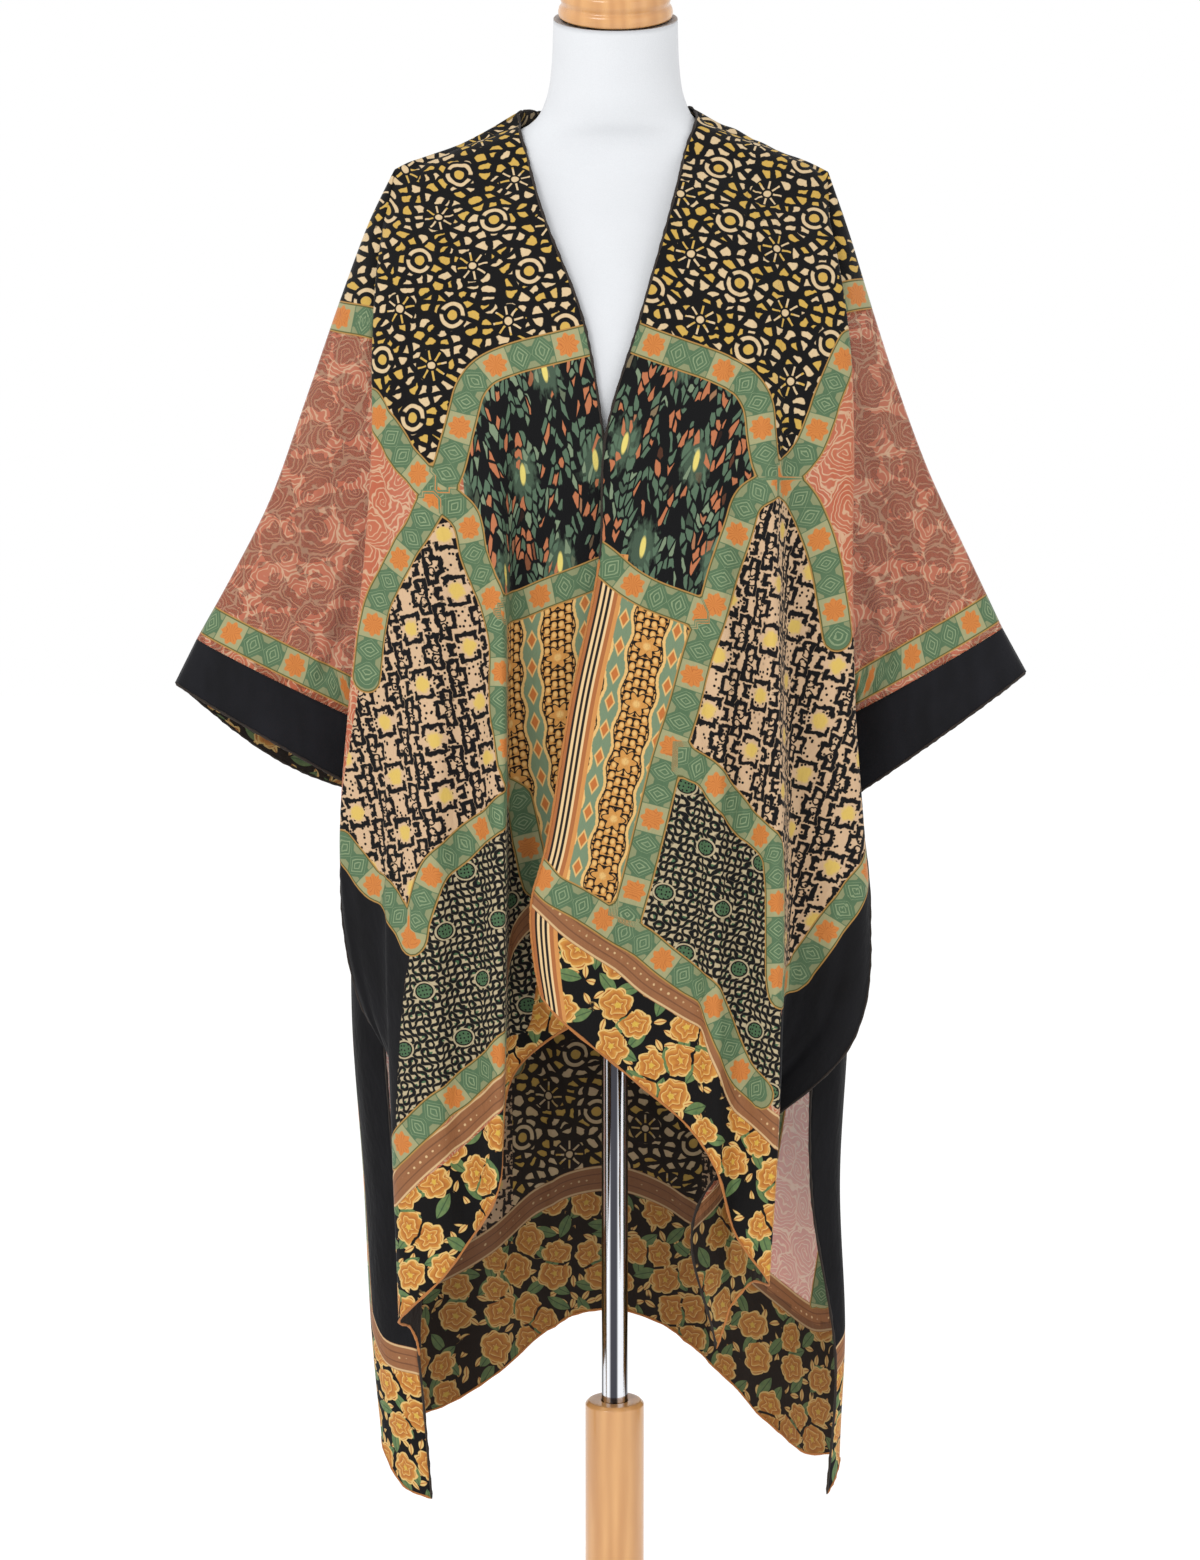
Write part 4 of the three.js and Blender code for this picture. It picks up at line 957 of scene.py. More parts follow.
@dataclass(frozen=True)
class PrintedCloth:
    """Printed velvet burnt out to sheer chiffon.

    Attributes:
        name: the finish's name.
        zones: the print of each zone, in the order in which they lie over the chiffon.
        whole: the print that covers the cloth where it has no chiffon.
        shaded_wrong_side: whether the cloth is seen from its duller wrong side, darkened further by painted
            shade as the inside of the coat.
        sheer: how much of the light the bare chiffon stops.
        bordered: whether a dotted border is printed too.
        striped: whether the front edge carries its stripes.
        shadowed: whether brown velvet blossoms are scattered over the chiffon.
    """

    name: str
    zones: tuple[tuple[str, Print], ...] = ()
    whole: Optional[Print] = None
    shaded_wrong_side: bool = False
    sheer: float = 0.62
    bordered: bool = True
    striped: bool = False
    shadowed: bool = False

    def stripes(self, g: Graph, ink: Ink, depth: Num) -> Ink:
        """Narrow rust, cream and black stripes along the front edge."""
        rust, cream, black = dye(170, 104, 58), dye(232, 198, 146), dye(22, 17, 14)
        bounds = ((24.0, dye(206, 142, 78)), (20.5, rust), (17.0, cream), (15.0, black), (12.6, cream),
                  (10.6, black), (8.4, cream), (6.0, black), (4.0, rust))
        tone, pile = ink.colour, ink.pile
        for limit, stripe in bounds:
            mask = g.below(depth, limit, 0.5)
            tone = g.mix(mask, tone, stripe)
        return Ink(tone, (1 - g.below(depth, 24.0, 0.5)) * pile)

    def material(self) -> bpy.types.Material:
        """Builds the finish as a material."""
        g = Graph(self.name)
        x, y = g.field("chart_x"), g.field("chart_y")
        ink = (self.whole or Scrolls()).paint(g, x, y)
        sheer = 0.0 if self.whole else 1.0
        if self.shadowed:
            blossoms = 1 - Peonies().paint(g, x, y).pile
            ink = Ink(g.mix(blossoms * 0.5, ink.colour, dye(120, 58, 36)), blossoms * 0.6)
        for zone, pattern in self.zones:
            over = pattern.paint(g, x, y)
            inside = g.below(0.0 - g.field(zone), 0.0, 0.8)
            ink = Ink(g.mix(inside, ink.colour, over.colour), (1 - inside) * ink.pile + inside * over.pile)
            sheer = (1 - inside) * sheer
        if self.striped:
            depth = g.field("edge_depth")
            ink = self.stripes(g, ink, depth)
            sheer = (1 - g.below(depth, 24.0, 0.5)) * sheer
        if self.bordered:
            t, s = g.field("border_t"), g.field("border_s")
            border = DottedBorder()
            over = border.paint(g, t, s)
            inside = g.line(t, border.width / 2)
            ink = Ink(g.mix(inside, ink.colour, over.colour), (1 - inside) * ink.pile)
            sheer = (1 - inside) * sheer
        t, s = g.field("band_t"), g.field("band_s")
        band = GreenBand()
        over = band.paint(g, t, s)
        inside = g.line(t, band.width / 2)
        ink = Ink(g.mix(inside, ink.colour, over.colour), (1 - inside) * ink.pile)
        sheer = (1 - inside) * sheer
        return self.dress(g, ink, sheer, x, y)

    def dress(self, g: Graph, ink: Ink, sheer: Value, x: Num, y: Num) -> bpy.types.Material:
        """Joins the print, the pile and the weave into the surface."""
        # The inner side is muted half-way to dark brown: partly the duller wrong side of the print, partly
        # painted shade inside the coat.
        if self.shaded_wrong_side and (self.whole or self.zones):
            tone = g.mix(0.5, ink.colour, dye(46, 38, 32))
        else:
            tone = g.mix(0.15, ink.colour, dye(30, 28, 26))
        surface = g.node("ShaderNodeBsdfPrincipled")
        g.feed(surface.inputs["Base Color"], tone)
        g.feed(surface.inputs["Roughness"], 0.56 + ink.pile * 0.34)
        surface.inputs["Specular IOR Level"].default_value = 0.16
        surface.inputs["Sheen Weight"].default_value = 0.05
        surface.inputs["Sheen Roughness"].default_value = 0.35
        weave = g.math("SINE", x * 5.2) * g.math("SINE", y * 5.2)
        wrinkle = g.noise(x * 0.16, y * 0.07, 3.0)
        height = ink.pile * 0.7 + weave * 0.05 + wrinkle * 1.3
        bump = g.node("ShaderNodeBump")
        bump.inputs["Strength"].default_value = 0.5
        bump.inputs["Distance"].default_value = 0.0016
        g.feed(bump.inputs["Height"], height)
        g.tree.links.new(bump.outputs[0], surface.inputs["Normal"])
        if self.sheer < 1 and not self.whole:
            g.feed(surface.inputs["Alpha"], 1 - sheer * (1 - self.sheer))
        return g.finished(surface)


class Wood:
    """Lacquered light wood with long grain."""

    def __init__(self, name: str, grain: Point, gloss: float) -> None:
        """Keeps the name, the grain's stretch along each axis, and the gloss."""
        self.name, self.grain, self.gloss = name, grain, gloss

    def material(self) -> bpy.types.Material:
        """Builds the finish as a material."""
        g = Graph(self.name)
        place = g.node("ShaderNodeTexCoord").outputs["Object"]
        scale = g.node("ShaderNodeMapping")
        scale.inputs["Scale"].default_value = self.grain
        g.tree.links.new(place, scale.inputs[0])
        fibre = g.node("ShaderNodeTexNoise")
        fibre.inputs["Scale"].default_value = 1.0
        fibre.inputs["Detail"].default_value = 5.0
        g.tree.links.new(scale.outputs[0], fibre.inputs["Vector"])
        rings = g.node("ShaderNodeTexWave", wave_type="BANDS", bands_direction="X")
        rings.inputs["Scale"].default_value = 0.35
        rings.inputs["Distortion"].default_value = 7.0
        rings.inputs["Detail"].default_value = 2.0
        g.tree.links.new(scale.outputs[0], rings.inputs["Vector"])
        tone = g.mix(Num(g, fibre.outputs[0]), dye(222, 172, 112), dye(188, 130, 74))
        tone = g.mix(Num(g, rings.outputs[1]) * 0.3, tone, dye(166, 108, 58))
        surface = g.node("ShaderNodeBsdfPrincipled")
        g.feed(surface.inputs["Base Color"], tone)
        g.feed(surface.inputs["Roughness"], self.gloss + Num(g, fibre.outputs[0]) * 0.12)
        surface.inputs["Coat Weight"].default_value = 0.5
        surface.inputs["Coat Roughness"].default_value = 0.12
        bump = g.node("ShaderNodeBump")
        bump.inputs["Strength"].default_value = 0.15
        bump.inputs["Distance"].default_value = 0.0004
        g.tree.links.new(fibre.outputs[0], bump.inputs["Height"])
        g.tree.links.new(bump.outputs[0], surface.inputs["Normal"])
        return g.finished(surface)


class PlainFinish:
    """An even finish with a fine grain: linen, steel, thread or floor."""

    def __init__(self, name: str, tone: Colour, second: Colour, roughness: float, metal: float = 0.0,
                 grain: float = 400.0, relief: float = 0.3, sheen: float = 0.0,
                 stretch: Point = (1.0, 1.0, 1.0)) -> None:
        """Keeps the two tones between which the grain plays, and the surface's numbers."""
        self.name, self.tone, self.second = name, tone, second
        self.roughness, self.metal, self.grain = roughness, metal, grain
        self.relief, self.sheen, self.stretch = relief, sheen, stretch

    def material(self) -> bpy.types.Material:
        """Builds the finish as a material."""
        g = Graph(self.name)
        place = g.node("ShaderNodeTexCoord").outputs["Object"]
        scale = g.node("ShaderNodeMapping")
        scale.inputs["Scale"].default_value = self.stretch
        g.tree.links.new(place, scale.inputs[0])
        speck = g.node("ShaderNodeTexNoise")
        speck.inputs["Scale"].default_value = self.grain
        speck.inputs["Detail"].default_value = 3.0
        g.tree.links.new(scale.outputs[0], speck.inputs["Vector"])
        cloud = g.node("ShaderNodeTexNoise")
        cloud.inputs["Scale"].default_value = self.grain * 0.02
        g.tree.links.new(scale.outputs[0], cloud.inputs["Vector"])
        share = Num(g, speck.outputs[0]) * 0.6 + Num(g, cloud.outputs[0]) * 0.4
        surface = g.node("ShaderNodeBsdfPrincipled")
        g.feed(surface.inputs["Base Color"], g.mix(share, self.tone, self.second))
        g.feed(surface.inputs["Roughness"], self.roughness + Num(g, speck.outputs[0]) * 0.08)
        surface.inputs["Metallic"].default_value = self.metal
        surface.inputs["Sheen Weight"].default_value = self.sheen
        bump = g.node("ShaderNodeBump")
        bump.inputs["Strength"].default_value = self.relief
        bump.inputs["Distance"].default_value = 0.0003
        g.tree.links.new(speck.outputs[0], bump.inputs["Height"])
        g.tree.links.new(bump.outputs[0], surface.inputs["Normal"])
        return g.finished(surface)


@dataclass(frozen=True)
class PrintLayout:
    """Where the prints lie on a front, in millimetres on the upright plane through the fronts.

    Attributes:
        bands: middle lines of the green bands.
        borders: middle lines of the dotted brown borders.
        zones: closed outline of each print.
    """

    bands: tuple[Outline, ...]
    borders: tuple[Outline, ...]
    zones: dict[str, Outline]


LEFT_LAYOUT = PrintLayout(
    bands=(
        ((-10, 1313), (-56, 1302), (-87, 1294), (-110, 1284), (-123, 1269), (-129, 1247), (-135, 1224),
         (-142, 1201), (-153, 1180), (-171, 1147), (-189, 1116), (-201, 1089), (-208, 1059), (-212, 1026)),
        ((-207, 1257), (-182, 1216), (-161, 1191), (-138, 1172), (-126, 1159), (-120, 1131), (-111, 1104),
         (-103, 1081), (-96, 1054), (-97, 1005), (-92, 970), (-86, 930), (-78, 895), (-68, 849)),
        ((-101, 1078), (-64, 1095), (-27, 1109), (6, 1123)),
        ((-234, 882), (-214, 854), (-197, 836), (-182, 813), (-175, 798), (-170, 822), (-157, 857),
         (-131, 882), (-100, 908), (-87, 919)),
        ((-89, 711), (-98, 701), (-130, 671), (-157, 649), (-184, 623), (-195, 611)),
    ),
    borders=(((-90, 674), (-105, 661), (-137, 632), (-167, 607), (-186, 588), (-195, 577)),),
    zones={
        "pebbles": (
            (20, 1516), (-255, 1516), (-258, 1285), (-207, 1257), (-182, 1216), (-161, 1191), (-148, 1189),
            (-140, 1205), (-135, 1224), (-129, 1247), (-123, 1269), (-110, 1284), (-87, 1294), (-56, 1302),
            (-2, 1315)),
        "ikat": (
            (-2, 1315), (-56, 1302), (-87, 1294), (-110, 1284), (-123, 1269), (-129, 1247), (-130, 1201),
            (-126, 1159), (-120, 1131), (-111, 1104), (-101, 1078), (-64, 1095), (-27, 1109), (17, 1128)),
        "brocade": (
            (-101, 1078), (-64, 1095), (-27, 1109), (17, 1128), (88, 1091), (90, 800), (-48, 808), (-68, 849),
            (-78, 895), (-86, 930), (-92, 970), (-97, 1005), (-100, 1048)),
        "fret": (
            (-148, 1186), (-126, 1159), (-120, 1131), (-111, 1104), (-103, 1081), (-96, 1054), (-97, 1005),
            (-92, 970), (-86, 930), (-85, 917), (-100, 908), (-131, 882), (-157, 857), (-170, 822),
            (-175, 798), (-182, 813), (-197, 836), (-214, 854), (-234, 882), (-240, 895), (-217, 1026),
            (-208, 1059), (-201, 1089), (-189, 1116), (-171, 1147), (-153, 1180)),
        "labyrinth": (
            (-175, 798), (-170, 822), (-157, 857), (-131, 882), (-100, 908), (-86, 919), (-78, 895),
            (-68, 849), (-61, 808), (-74, 721), (-89, 711), (-98, 701), (-130, 671), (-157, 649),
            (-184, 623), (-195, 611), (-200, 642), (-189, 712), (-182, 760)),
        "side_pile": (
            (-240, 888), (-214, 854), (-197, 836), (-182, 813), (-176, 791), (-182, 760), (-187, 704),
            (-190, 642), (-196, 571), (-199, 375), (-407, 375), (-398, 921)),
        "peonies": (
            (-89, 659), (-105, 644), (-137, 614), (-167, 589), (-186, 571), (-200, 562), (-248, 545),
            (-250, 303), (92, 303), (90, 747), (-74, 677)),
    },
)

RIGHT_LAYOUT = PrintLayout(
    bands=(
        ((2, 1317), (25, 1308), (56, 1297), (87, 1286), (109, 1273), (120, 1255), (124, 1228), (131, 1201),
         (153, 1180), (168, 1153), (178, 1123), (183, 1096), (189, 1061)),
        ((197, 1306), (180, 1266), (172, 1241), (163, 1220), (149, 1203), (134, 1191), (113, 1176),
         (103, 1149), (92, 1116), (82, 1081), (70, 1044), (58, 1000), (43, 952), (30, 899), (19, 855),
         (10, 822)),
        ((-37, 1141), (-14, 1127), (10, 1107), (29, 1096), (61, 1084), (78, 1078)),
        ((52, 961), (62, 952), (74, 946), (91, 927), (109, 903), (126, 887), (137, 871), (144, 751),
         (158, 774), (175, 798), (192, 822), (214, 853), (224, 868)),
        ((-85, 871), (-68, 859), (-55, 844), (-35, 833), (-14, 820), (2, 809), (22, 798), (41, 782),
         (61, 767), (75, 756), (89, 732), (105, 689), (126, 665)),
    ),
    borders=(
        ((-83, 857), (-66, 839), (-50, 824), (-37, 812), (-14, 796), (8, 782), (28, 764), (55, 747),
         (79, 730), (90, 708), (106, 664), (127, 643), (145, 627)),
    ),
    zones={
        "pebbles": (
            (2, 1317), (25, 1308), (56, 1297), (87, 1286), (109, 1273), (120, 1255), (124, 1228),
            (136, 1203), (149, 1203), (163, 1220), (172, 1241), (180, 1266), (197, 1306), (239, 1318),
            (237, 1516), (-14, 1516), (-14, 1343)),
        "ikat": (
            (-21, 1324), (25, 1308), (56, 1297), (87, 1286), (109, 1273), (120, 1255), (124, 1228),
            (130, 1189), (113, 1176), (103, 1149), (92, 1116), (80, 1078), (61, 1084), (29, 1096),
            (10, 1107), (-14, 1127), (-45, 1147)),
        "brocade": (
            (-45, 1147), (-14, 1127), (10, 1107), (29, 1096), (61, 1084), (80, 1078), (70, 1044), (58, 1000),
            (43, 952), (30, 899), (19, 855), (10, 822), (-13, 820), (-35, 837), (-55, 849), (-68, 864),
            (-92, 875), (-116, 877), (-115, 1091)),
        "fret": (
            (134, 1189), (153, 1180), (168, 1153), (178, 1123), (183, 1096), (189, 1061), (225, 1057),
            (244, 860), (214, 853), (192, 822), (175, 798), (158, 774), (144, 751), (137, 871), (126, 887),
            (109, 903), (91, 927), (74, 946), (58, 952), (52, 961), (58, 1000), (70, 1044), (82, 1081),
            (92, 1116), (103, 1149), (113, 1176)),
        "labyrinth": (
            (43, 952), (58, 952), (74, 946), (91, 927), (109, 903), (126, 887), (137, 871), (144, 751),
            (144, 647), (126, 665), (105, 689), (89, 732), (75, 756), (61, 767), (41, 782),
            (22, 798), (11, 809), (19, 855), (30, 899)),
        "side_pile": (
            (236, 882), (214, 853), (192, 822), (175, 798), (158, 774), (144, 751), (142, 712), (144, 616),
            (160, 571), (334, 571), (329, 886)),
        "peonies": (
            (-92, 864), (-83, 853), (-66, 833), (-50, 818), (-37, 805), (-14, 786), (8, 772), (28, 748),
            (55, 735), (79, 720), (88, 705), (104, 655), (125, 635), (145, 618), (186, 589), (188, 303),
            (-119, 303), (-116, 869)),
    },
)

COAT_PRINTS: tuple[tuple[str, Print], ...] = (
    ("peonies", Peonies()), ("pebbles", Pebbles()), ("ikat", Ikat()), ("brocade", Brocade()),
    ("fret", KeyFret()), ("labyrinth", Labyrinth()), ("side_pile", PlainPile()),
)


class ClothPanel:
    """A hanging sheet of the coat, lofted from its fold lines.

    Subclasses lay their own print out over the chart, which is the cloth spread flat: u across it and
    v up it, in millimetres.
    """

    rows_per_station = 26
    columns_per_fold = 8
    grain = 0.0

    def __init__(self, name: str, folds: FoldTable, anchor: int, creases: Sequence[Crease]) -> None:
        """Lofts the sheet.

        Args:
            name: the frame's node that the sheet stands for.
            folds: its fold lines.
            anchor: the fold that the chart is measured from.
            creases: soft troughs and ridges laid on it.
        """
        self.name = name
        self.anchor = anchor * self.columns_per_fold
        table = np.array([points for _, points in folds], float)
        stations = table.shape[1]
        downs = smooth(np.swapaxes(table, 0, 1), [self.rows_per_station] * (stations - 1))
        across = smooth(np.swapaxes(downs, 0, 1), [self.columns_per_fold] * (len(folds) - 1))
        grid = np.swapaxes(across, 0, 1)
        seam = grid[0, :, 1].copy()
        grid = self.creased(grid, creases)
        grid = TorsoForm.lift(grid, FORM_CLEARANCE)
        grid[0, :, 1] = seam
        self.grid = grid
        self.chart = self.spread()

    def creased(self, grid: np.ndarray, creases: Sequence[Crease]) -> np.ndarray:
        """Presses the creases into the sheet, and keeps its edges and its shoulder in place."""
        rows, cols = grid.shape[:2]
        down, over = np.linspace(0, 1, rows)[:, None], np.linspace(0, 1, cols)[None, :]
        lift = np.zeros((rows, cols))
        for crease in creases:
            (x0, y0), (x1, y1) = crease.start, crease.end
            t = (down - y0) / (y1 - y0)
            middle = x0 + (x1 - x0) * t + crease.bow * np.sin(np.pi * np.clip(t, 0, 1))
            fade = np.sin(np.pi * np.clip(t, 0, 1)) ** 0.7
            lift += crease.depth * fade * np.exp(-((over - middle) / crease.width) ** 2)
        lift *= np.clip(down * 18, 0, 1)
        normal = self.outward(grid)
        return grid + normal * lift[..., None]

    def outward(self, grid: np.ndarray) -> np.ndarray:
        """Normals that face away from the coat's middle."""
        normal = grid_normals(grid)
        facing = np.sum(normal[..., :2] * grid[..., :2])
        return normal if facing > 0 else -normal

    def spread(self) -> np.ndarray:
        """Chart of the sheet: girth across from the anchor fold, length down from the chest."""
        grid = self.grid
        step = np.diff(grid, axis=1)
        walked = np.cumsum(np.hypot(step[..., 0], step[..., 1]), 1)
        girth = np.concatenate((np.zeros((len(grid), 1)), walked), 1)
        if grid[:, -1, 0].mean() < grid[:, 0, 0].mean():
            girth = -girth
        u = girth - girth[:, self.anchor:self.anchor + 1] + grid[:, self.anchor:self.anchor + 1, 0]
        fall = np.diff(grid, axis=0)
        fallen = np.cumsum(np.hypot(fall[..., 1], fall[..., 2]), 0)
        drop = np.concatenate((np.zeros((1, grid.shape[1])), fallen))
        chest = 2 * self.rows_per_station
        v = grid[chest, :, 2][None] + drop[chest][None] - drop
        return np.stack((u, v), -1)

    def seen(self) -> np.ndarray:
        """Places of the sheet's points on the upright plane through the fronts, as the eye sees them."""
        ray = self.grid - EYE
        share = (FRONT_PLANE - EYE[1]) / ray[..., 1]
        return np.stack((EYE[0] + ray[..., 0] * share, EYE[2] + ray[..., 2] * share), -1).reshape(-1, 2)

    def to_chart(self, line: np.ndarray) -> np.ndarray:
        """Carries a line from the upright plane onto the chart, by the foremost cloth at each place."""
        seen, chart = self.seen(), self.chart.reshape(-1, 2)
        depth = self.grid.reshape(-1, 3)[:, 1]
        out = []
        for place in line:
            gap = np.linalg.norm(seen - place, axis=1)
            close = np.flatnonzero(gap < gap.min() + 5.0)
            best = close[np.argmin(depth[close] + gap[close] * 2)]
            out.append(chart[best] + place - seen[best])
        carried = np.array(out)
        eased = carried.copy()
        eased[1:-1] = (carried[:-2] + carried[1:-1] * 2 + carried[2:]) / 4
        return eased

    def fields(self) -> dict[str, np.ndarray]:
        """Numbers for the print at each point of the sheet."""
        raise NotImplementedError

    def nearest(self, lines: Sequence[np.ndarray]) -> tuple[np.ndarray, np.ndarray]:
        """Distance across and length along the nearest of several lines of the chart."""
        flat = self.chart.reshape(-1, 2)
        best_t, best_s = np.full(len(flat), 1e6), np.zeros(len(flat))
        for k, line in enumerate(lines):
            t, s = path_field(flat, line)
            closer = np.abs(t) < np.abs(best_t)
            best_t, best_s = np.where(closer, t, best_t), np.where(closer, s + k * 17.0, best_s)
        return best_t, best_s

    def print_numbers(self, fields: dict[str, np.ndarray], faces: np.ndarray) -> np.ndarray:
        """Finish of each face: 0 where prints meet, 1 for bare chiffon, then one for each print."""
        pick = np.ones(len(faces), int)
        for number, (name, _) in enumerate(COAT_PRINTS, 2):
            corners = fields[name].ravel()[faces]
            pick = np.where(corners.max(1) > -1, 0, pick)
            pick = np.where(corners.min(1) > 1, number, pick)
        pick[fields["edge_depth"].ravel()[faces].min(1) < 27] = 0
        return pick

    def build(self, finishes: Sequence[bpy.types.Material]) -> bpy.types.Object:
        """Makes the sheet's mesh with its print fields and its thickness."""
        rows, cols = self.grid.shape[:2]
        flip = not np.allclose(self.outward(self.grid), grid_normals(self.grid))
        faces = grid_faces(rows, cols, flip=not flip)
        piece = make_object(self.name + "_cloth", self.grid.reshape(-1, 3), faces, finishes)
        fields = {name: np.full(rows * cols, -50.0) for name, _ in COAT_PRINTS}
        fields.update(self.fields())
        for name in ("band_t", "border_t"):
            fields[name] = np.abs(fields[name])
        u, v = self.chart[..., 0], self.chart[..., 1]
        c, s = math.cos(math.radians(self.grain)), math.sin(math.radians(self.grain))
        fields["chart_x"], fields["chart_y"] = u * c + v * s, v * c - u * s
        for name, values in fields.items():
            write_field(piece, name, values)
        piece.data.polygons.foreach_set("material_index", self.print_numbers(fields, np.array(faces)))
        thicken(piece, len(finishes) // 2)
        return piece

    def edge_lines(self) -> dict[str, np.ndarray]:
        """The free edges that carry a rolled hem; a dark one has dark in its name."""
        raise NotImplementedError

    def hems(self, thread: bpy.types.Material, dark: bpy.types.Material) -> list[bpy.types.Object]:
        """Rolled hems along the free edges."""
        return [tube(f"{self.name}_{name}", line, 1.15, dark if "dark" in name else thread, ragged=0.32)
                for name, line in self.edge_lines().items()]


def thicken(piece: bpy.types.Object, inner: int = 1) -> None:
    """Gives a sheet its thickness, with the finish that many places on for its inner side."""
    wall = piece.modifiers.new("thickness", "SOLIDIFY")
    wall.thickness = CLOTH_THICKNESS * MM
    wall.offset = 0.0
    wall.material_offset = inner
    wall.material_offset_rim = 0


class Front(ClothPanel):
    """One front of the coat, from the shoulder seam to its slanting hem."""

    def __init__(self, side: Side) -> None:
        """Takes the side's fold lines, print layout and creases."""
        self.side = side
        if side is Side.LEFT:
            name, folds, self.layout, anchor = "front_left", LEFT_FRONT_FOLDS, LEFT_LAYOUT, 4
            creases, self.grain = LEFT_CREASES, 11.0
        else:
            name, folds, self.layout, anchor = "front_right", RIGHT_FRONT_FOLDS, RIGHT_LAYOUT, 6
            creases, self.grain = RIGHT_CREASES, -13.5
        super().__init__(name, folds, anchor, creases)

    def fields(self) -> dict[str, np.ndarray]:
        """Numbers for the print: zones, bands, border and the depth from the front edge."""
        out = {}
        flat = self.chart.reshape(-1, 2)
        for name, outline in self.layout.zones.items():
            closed = divided(np.array(outline + outline[:1], float), 9.0)
            out[name] = inside_field(flat, self.to_chart(closed[:-1]))
        bands = [self.to_chart(divided(smooth_outline(line, 4), 5.0)) for line in self.layout.bands]
        borders = [self.to_chart(divided(smooth_outline(line, 4), 5.0)) for line in self.layout.borders]
        out["band_t"], out["band_s"] = self.nearest(bands)
        out["border_t"], out["border_s"] = self.nearest(borders)
        self.fill_hidden(out)
        edge = np.abs(self.chart[..., 0] - self.chart[:, :1, 0])
        below_waist = np.clip((self.chart[..., 1] - 1128) / 6, -1, 1)
        out["edge_depth"] = np.where(below_waist > 0, 60.0, edge) if self.side is Side.RIGHT else edge + 60
        return out

    peony_strip = 112.0
    strip_border = 121.0

    def fill_hidden(self, fields: dict[str, np.ndarray]) -> None:
        """Carries the peonies and their border along the hem where the eye can't see the cloth."""
        hem = (self.chart[..., 1] - self.chart[-1:, :, 1]).ravel()
        column = np.tile(np.arange(self.chart.shape[1]), len(self.chart))
        hidden = column > self.anchor + 5 if self.side is Side.RIGHT else column < self.anchor - 3
        strip = np.maximum(fields["peonies"], self.peony_strip - hem)
        fields["peonies"] = np.where(hidden, strip, fields["peonies"])
        bare = hidden & (fields["side_pile"] < 0)
        fields["border_t"] = np.where(bare, hem - self.strip_border, fields["border_t"])

    def edge_lines(self) -> dict[str, np.ndarray]:
        """Front edge, hem, and the side edge below the armhole."""
        start, waist = ARMHOLE_STATIONS * self.rows_per_station, 4 * self.rows_per_station
        return {"neck_dark_hem": self.grid[:waist + 1, 0], "front_hem": self.grid[waist:, 0],
                "low_hem": self.grid[-1], "side_dark_hem": self.grid[start:, -1]}


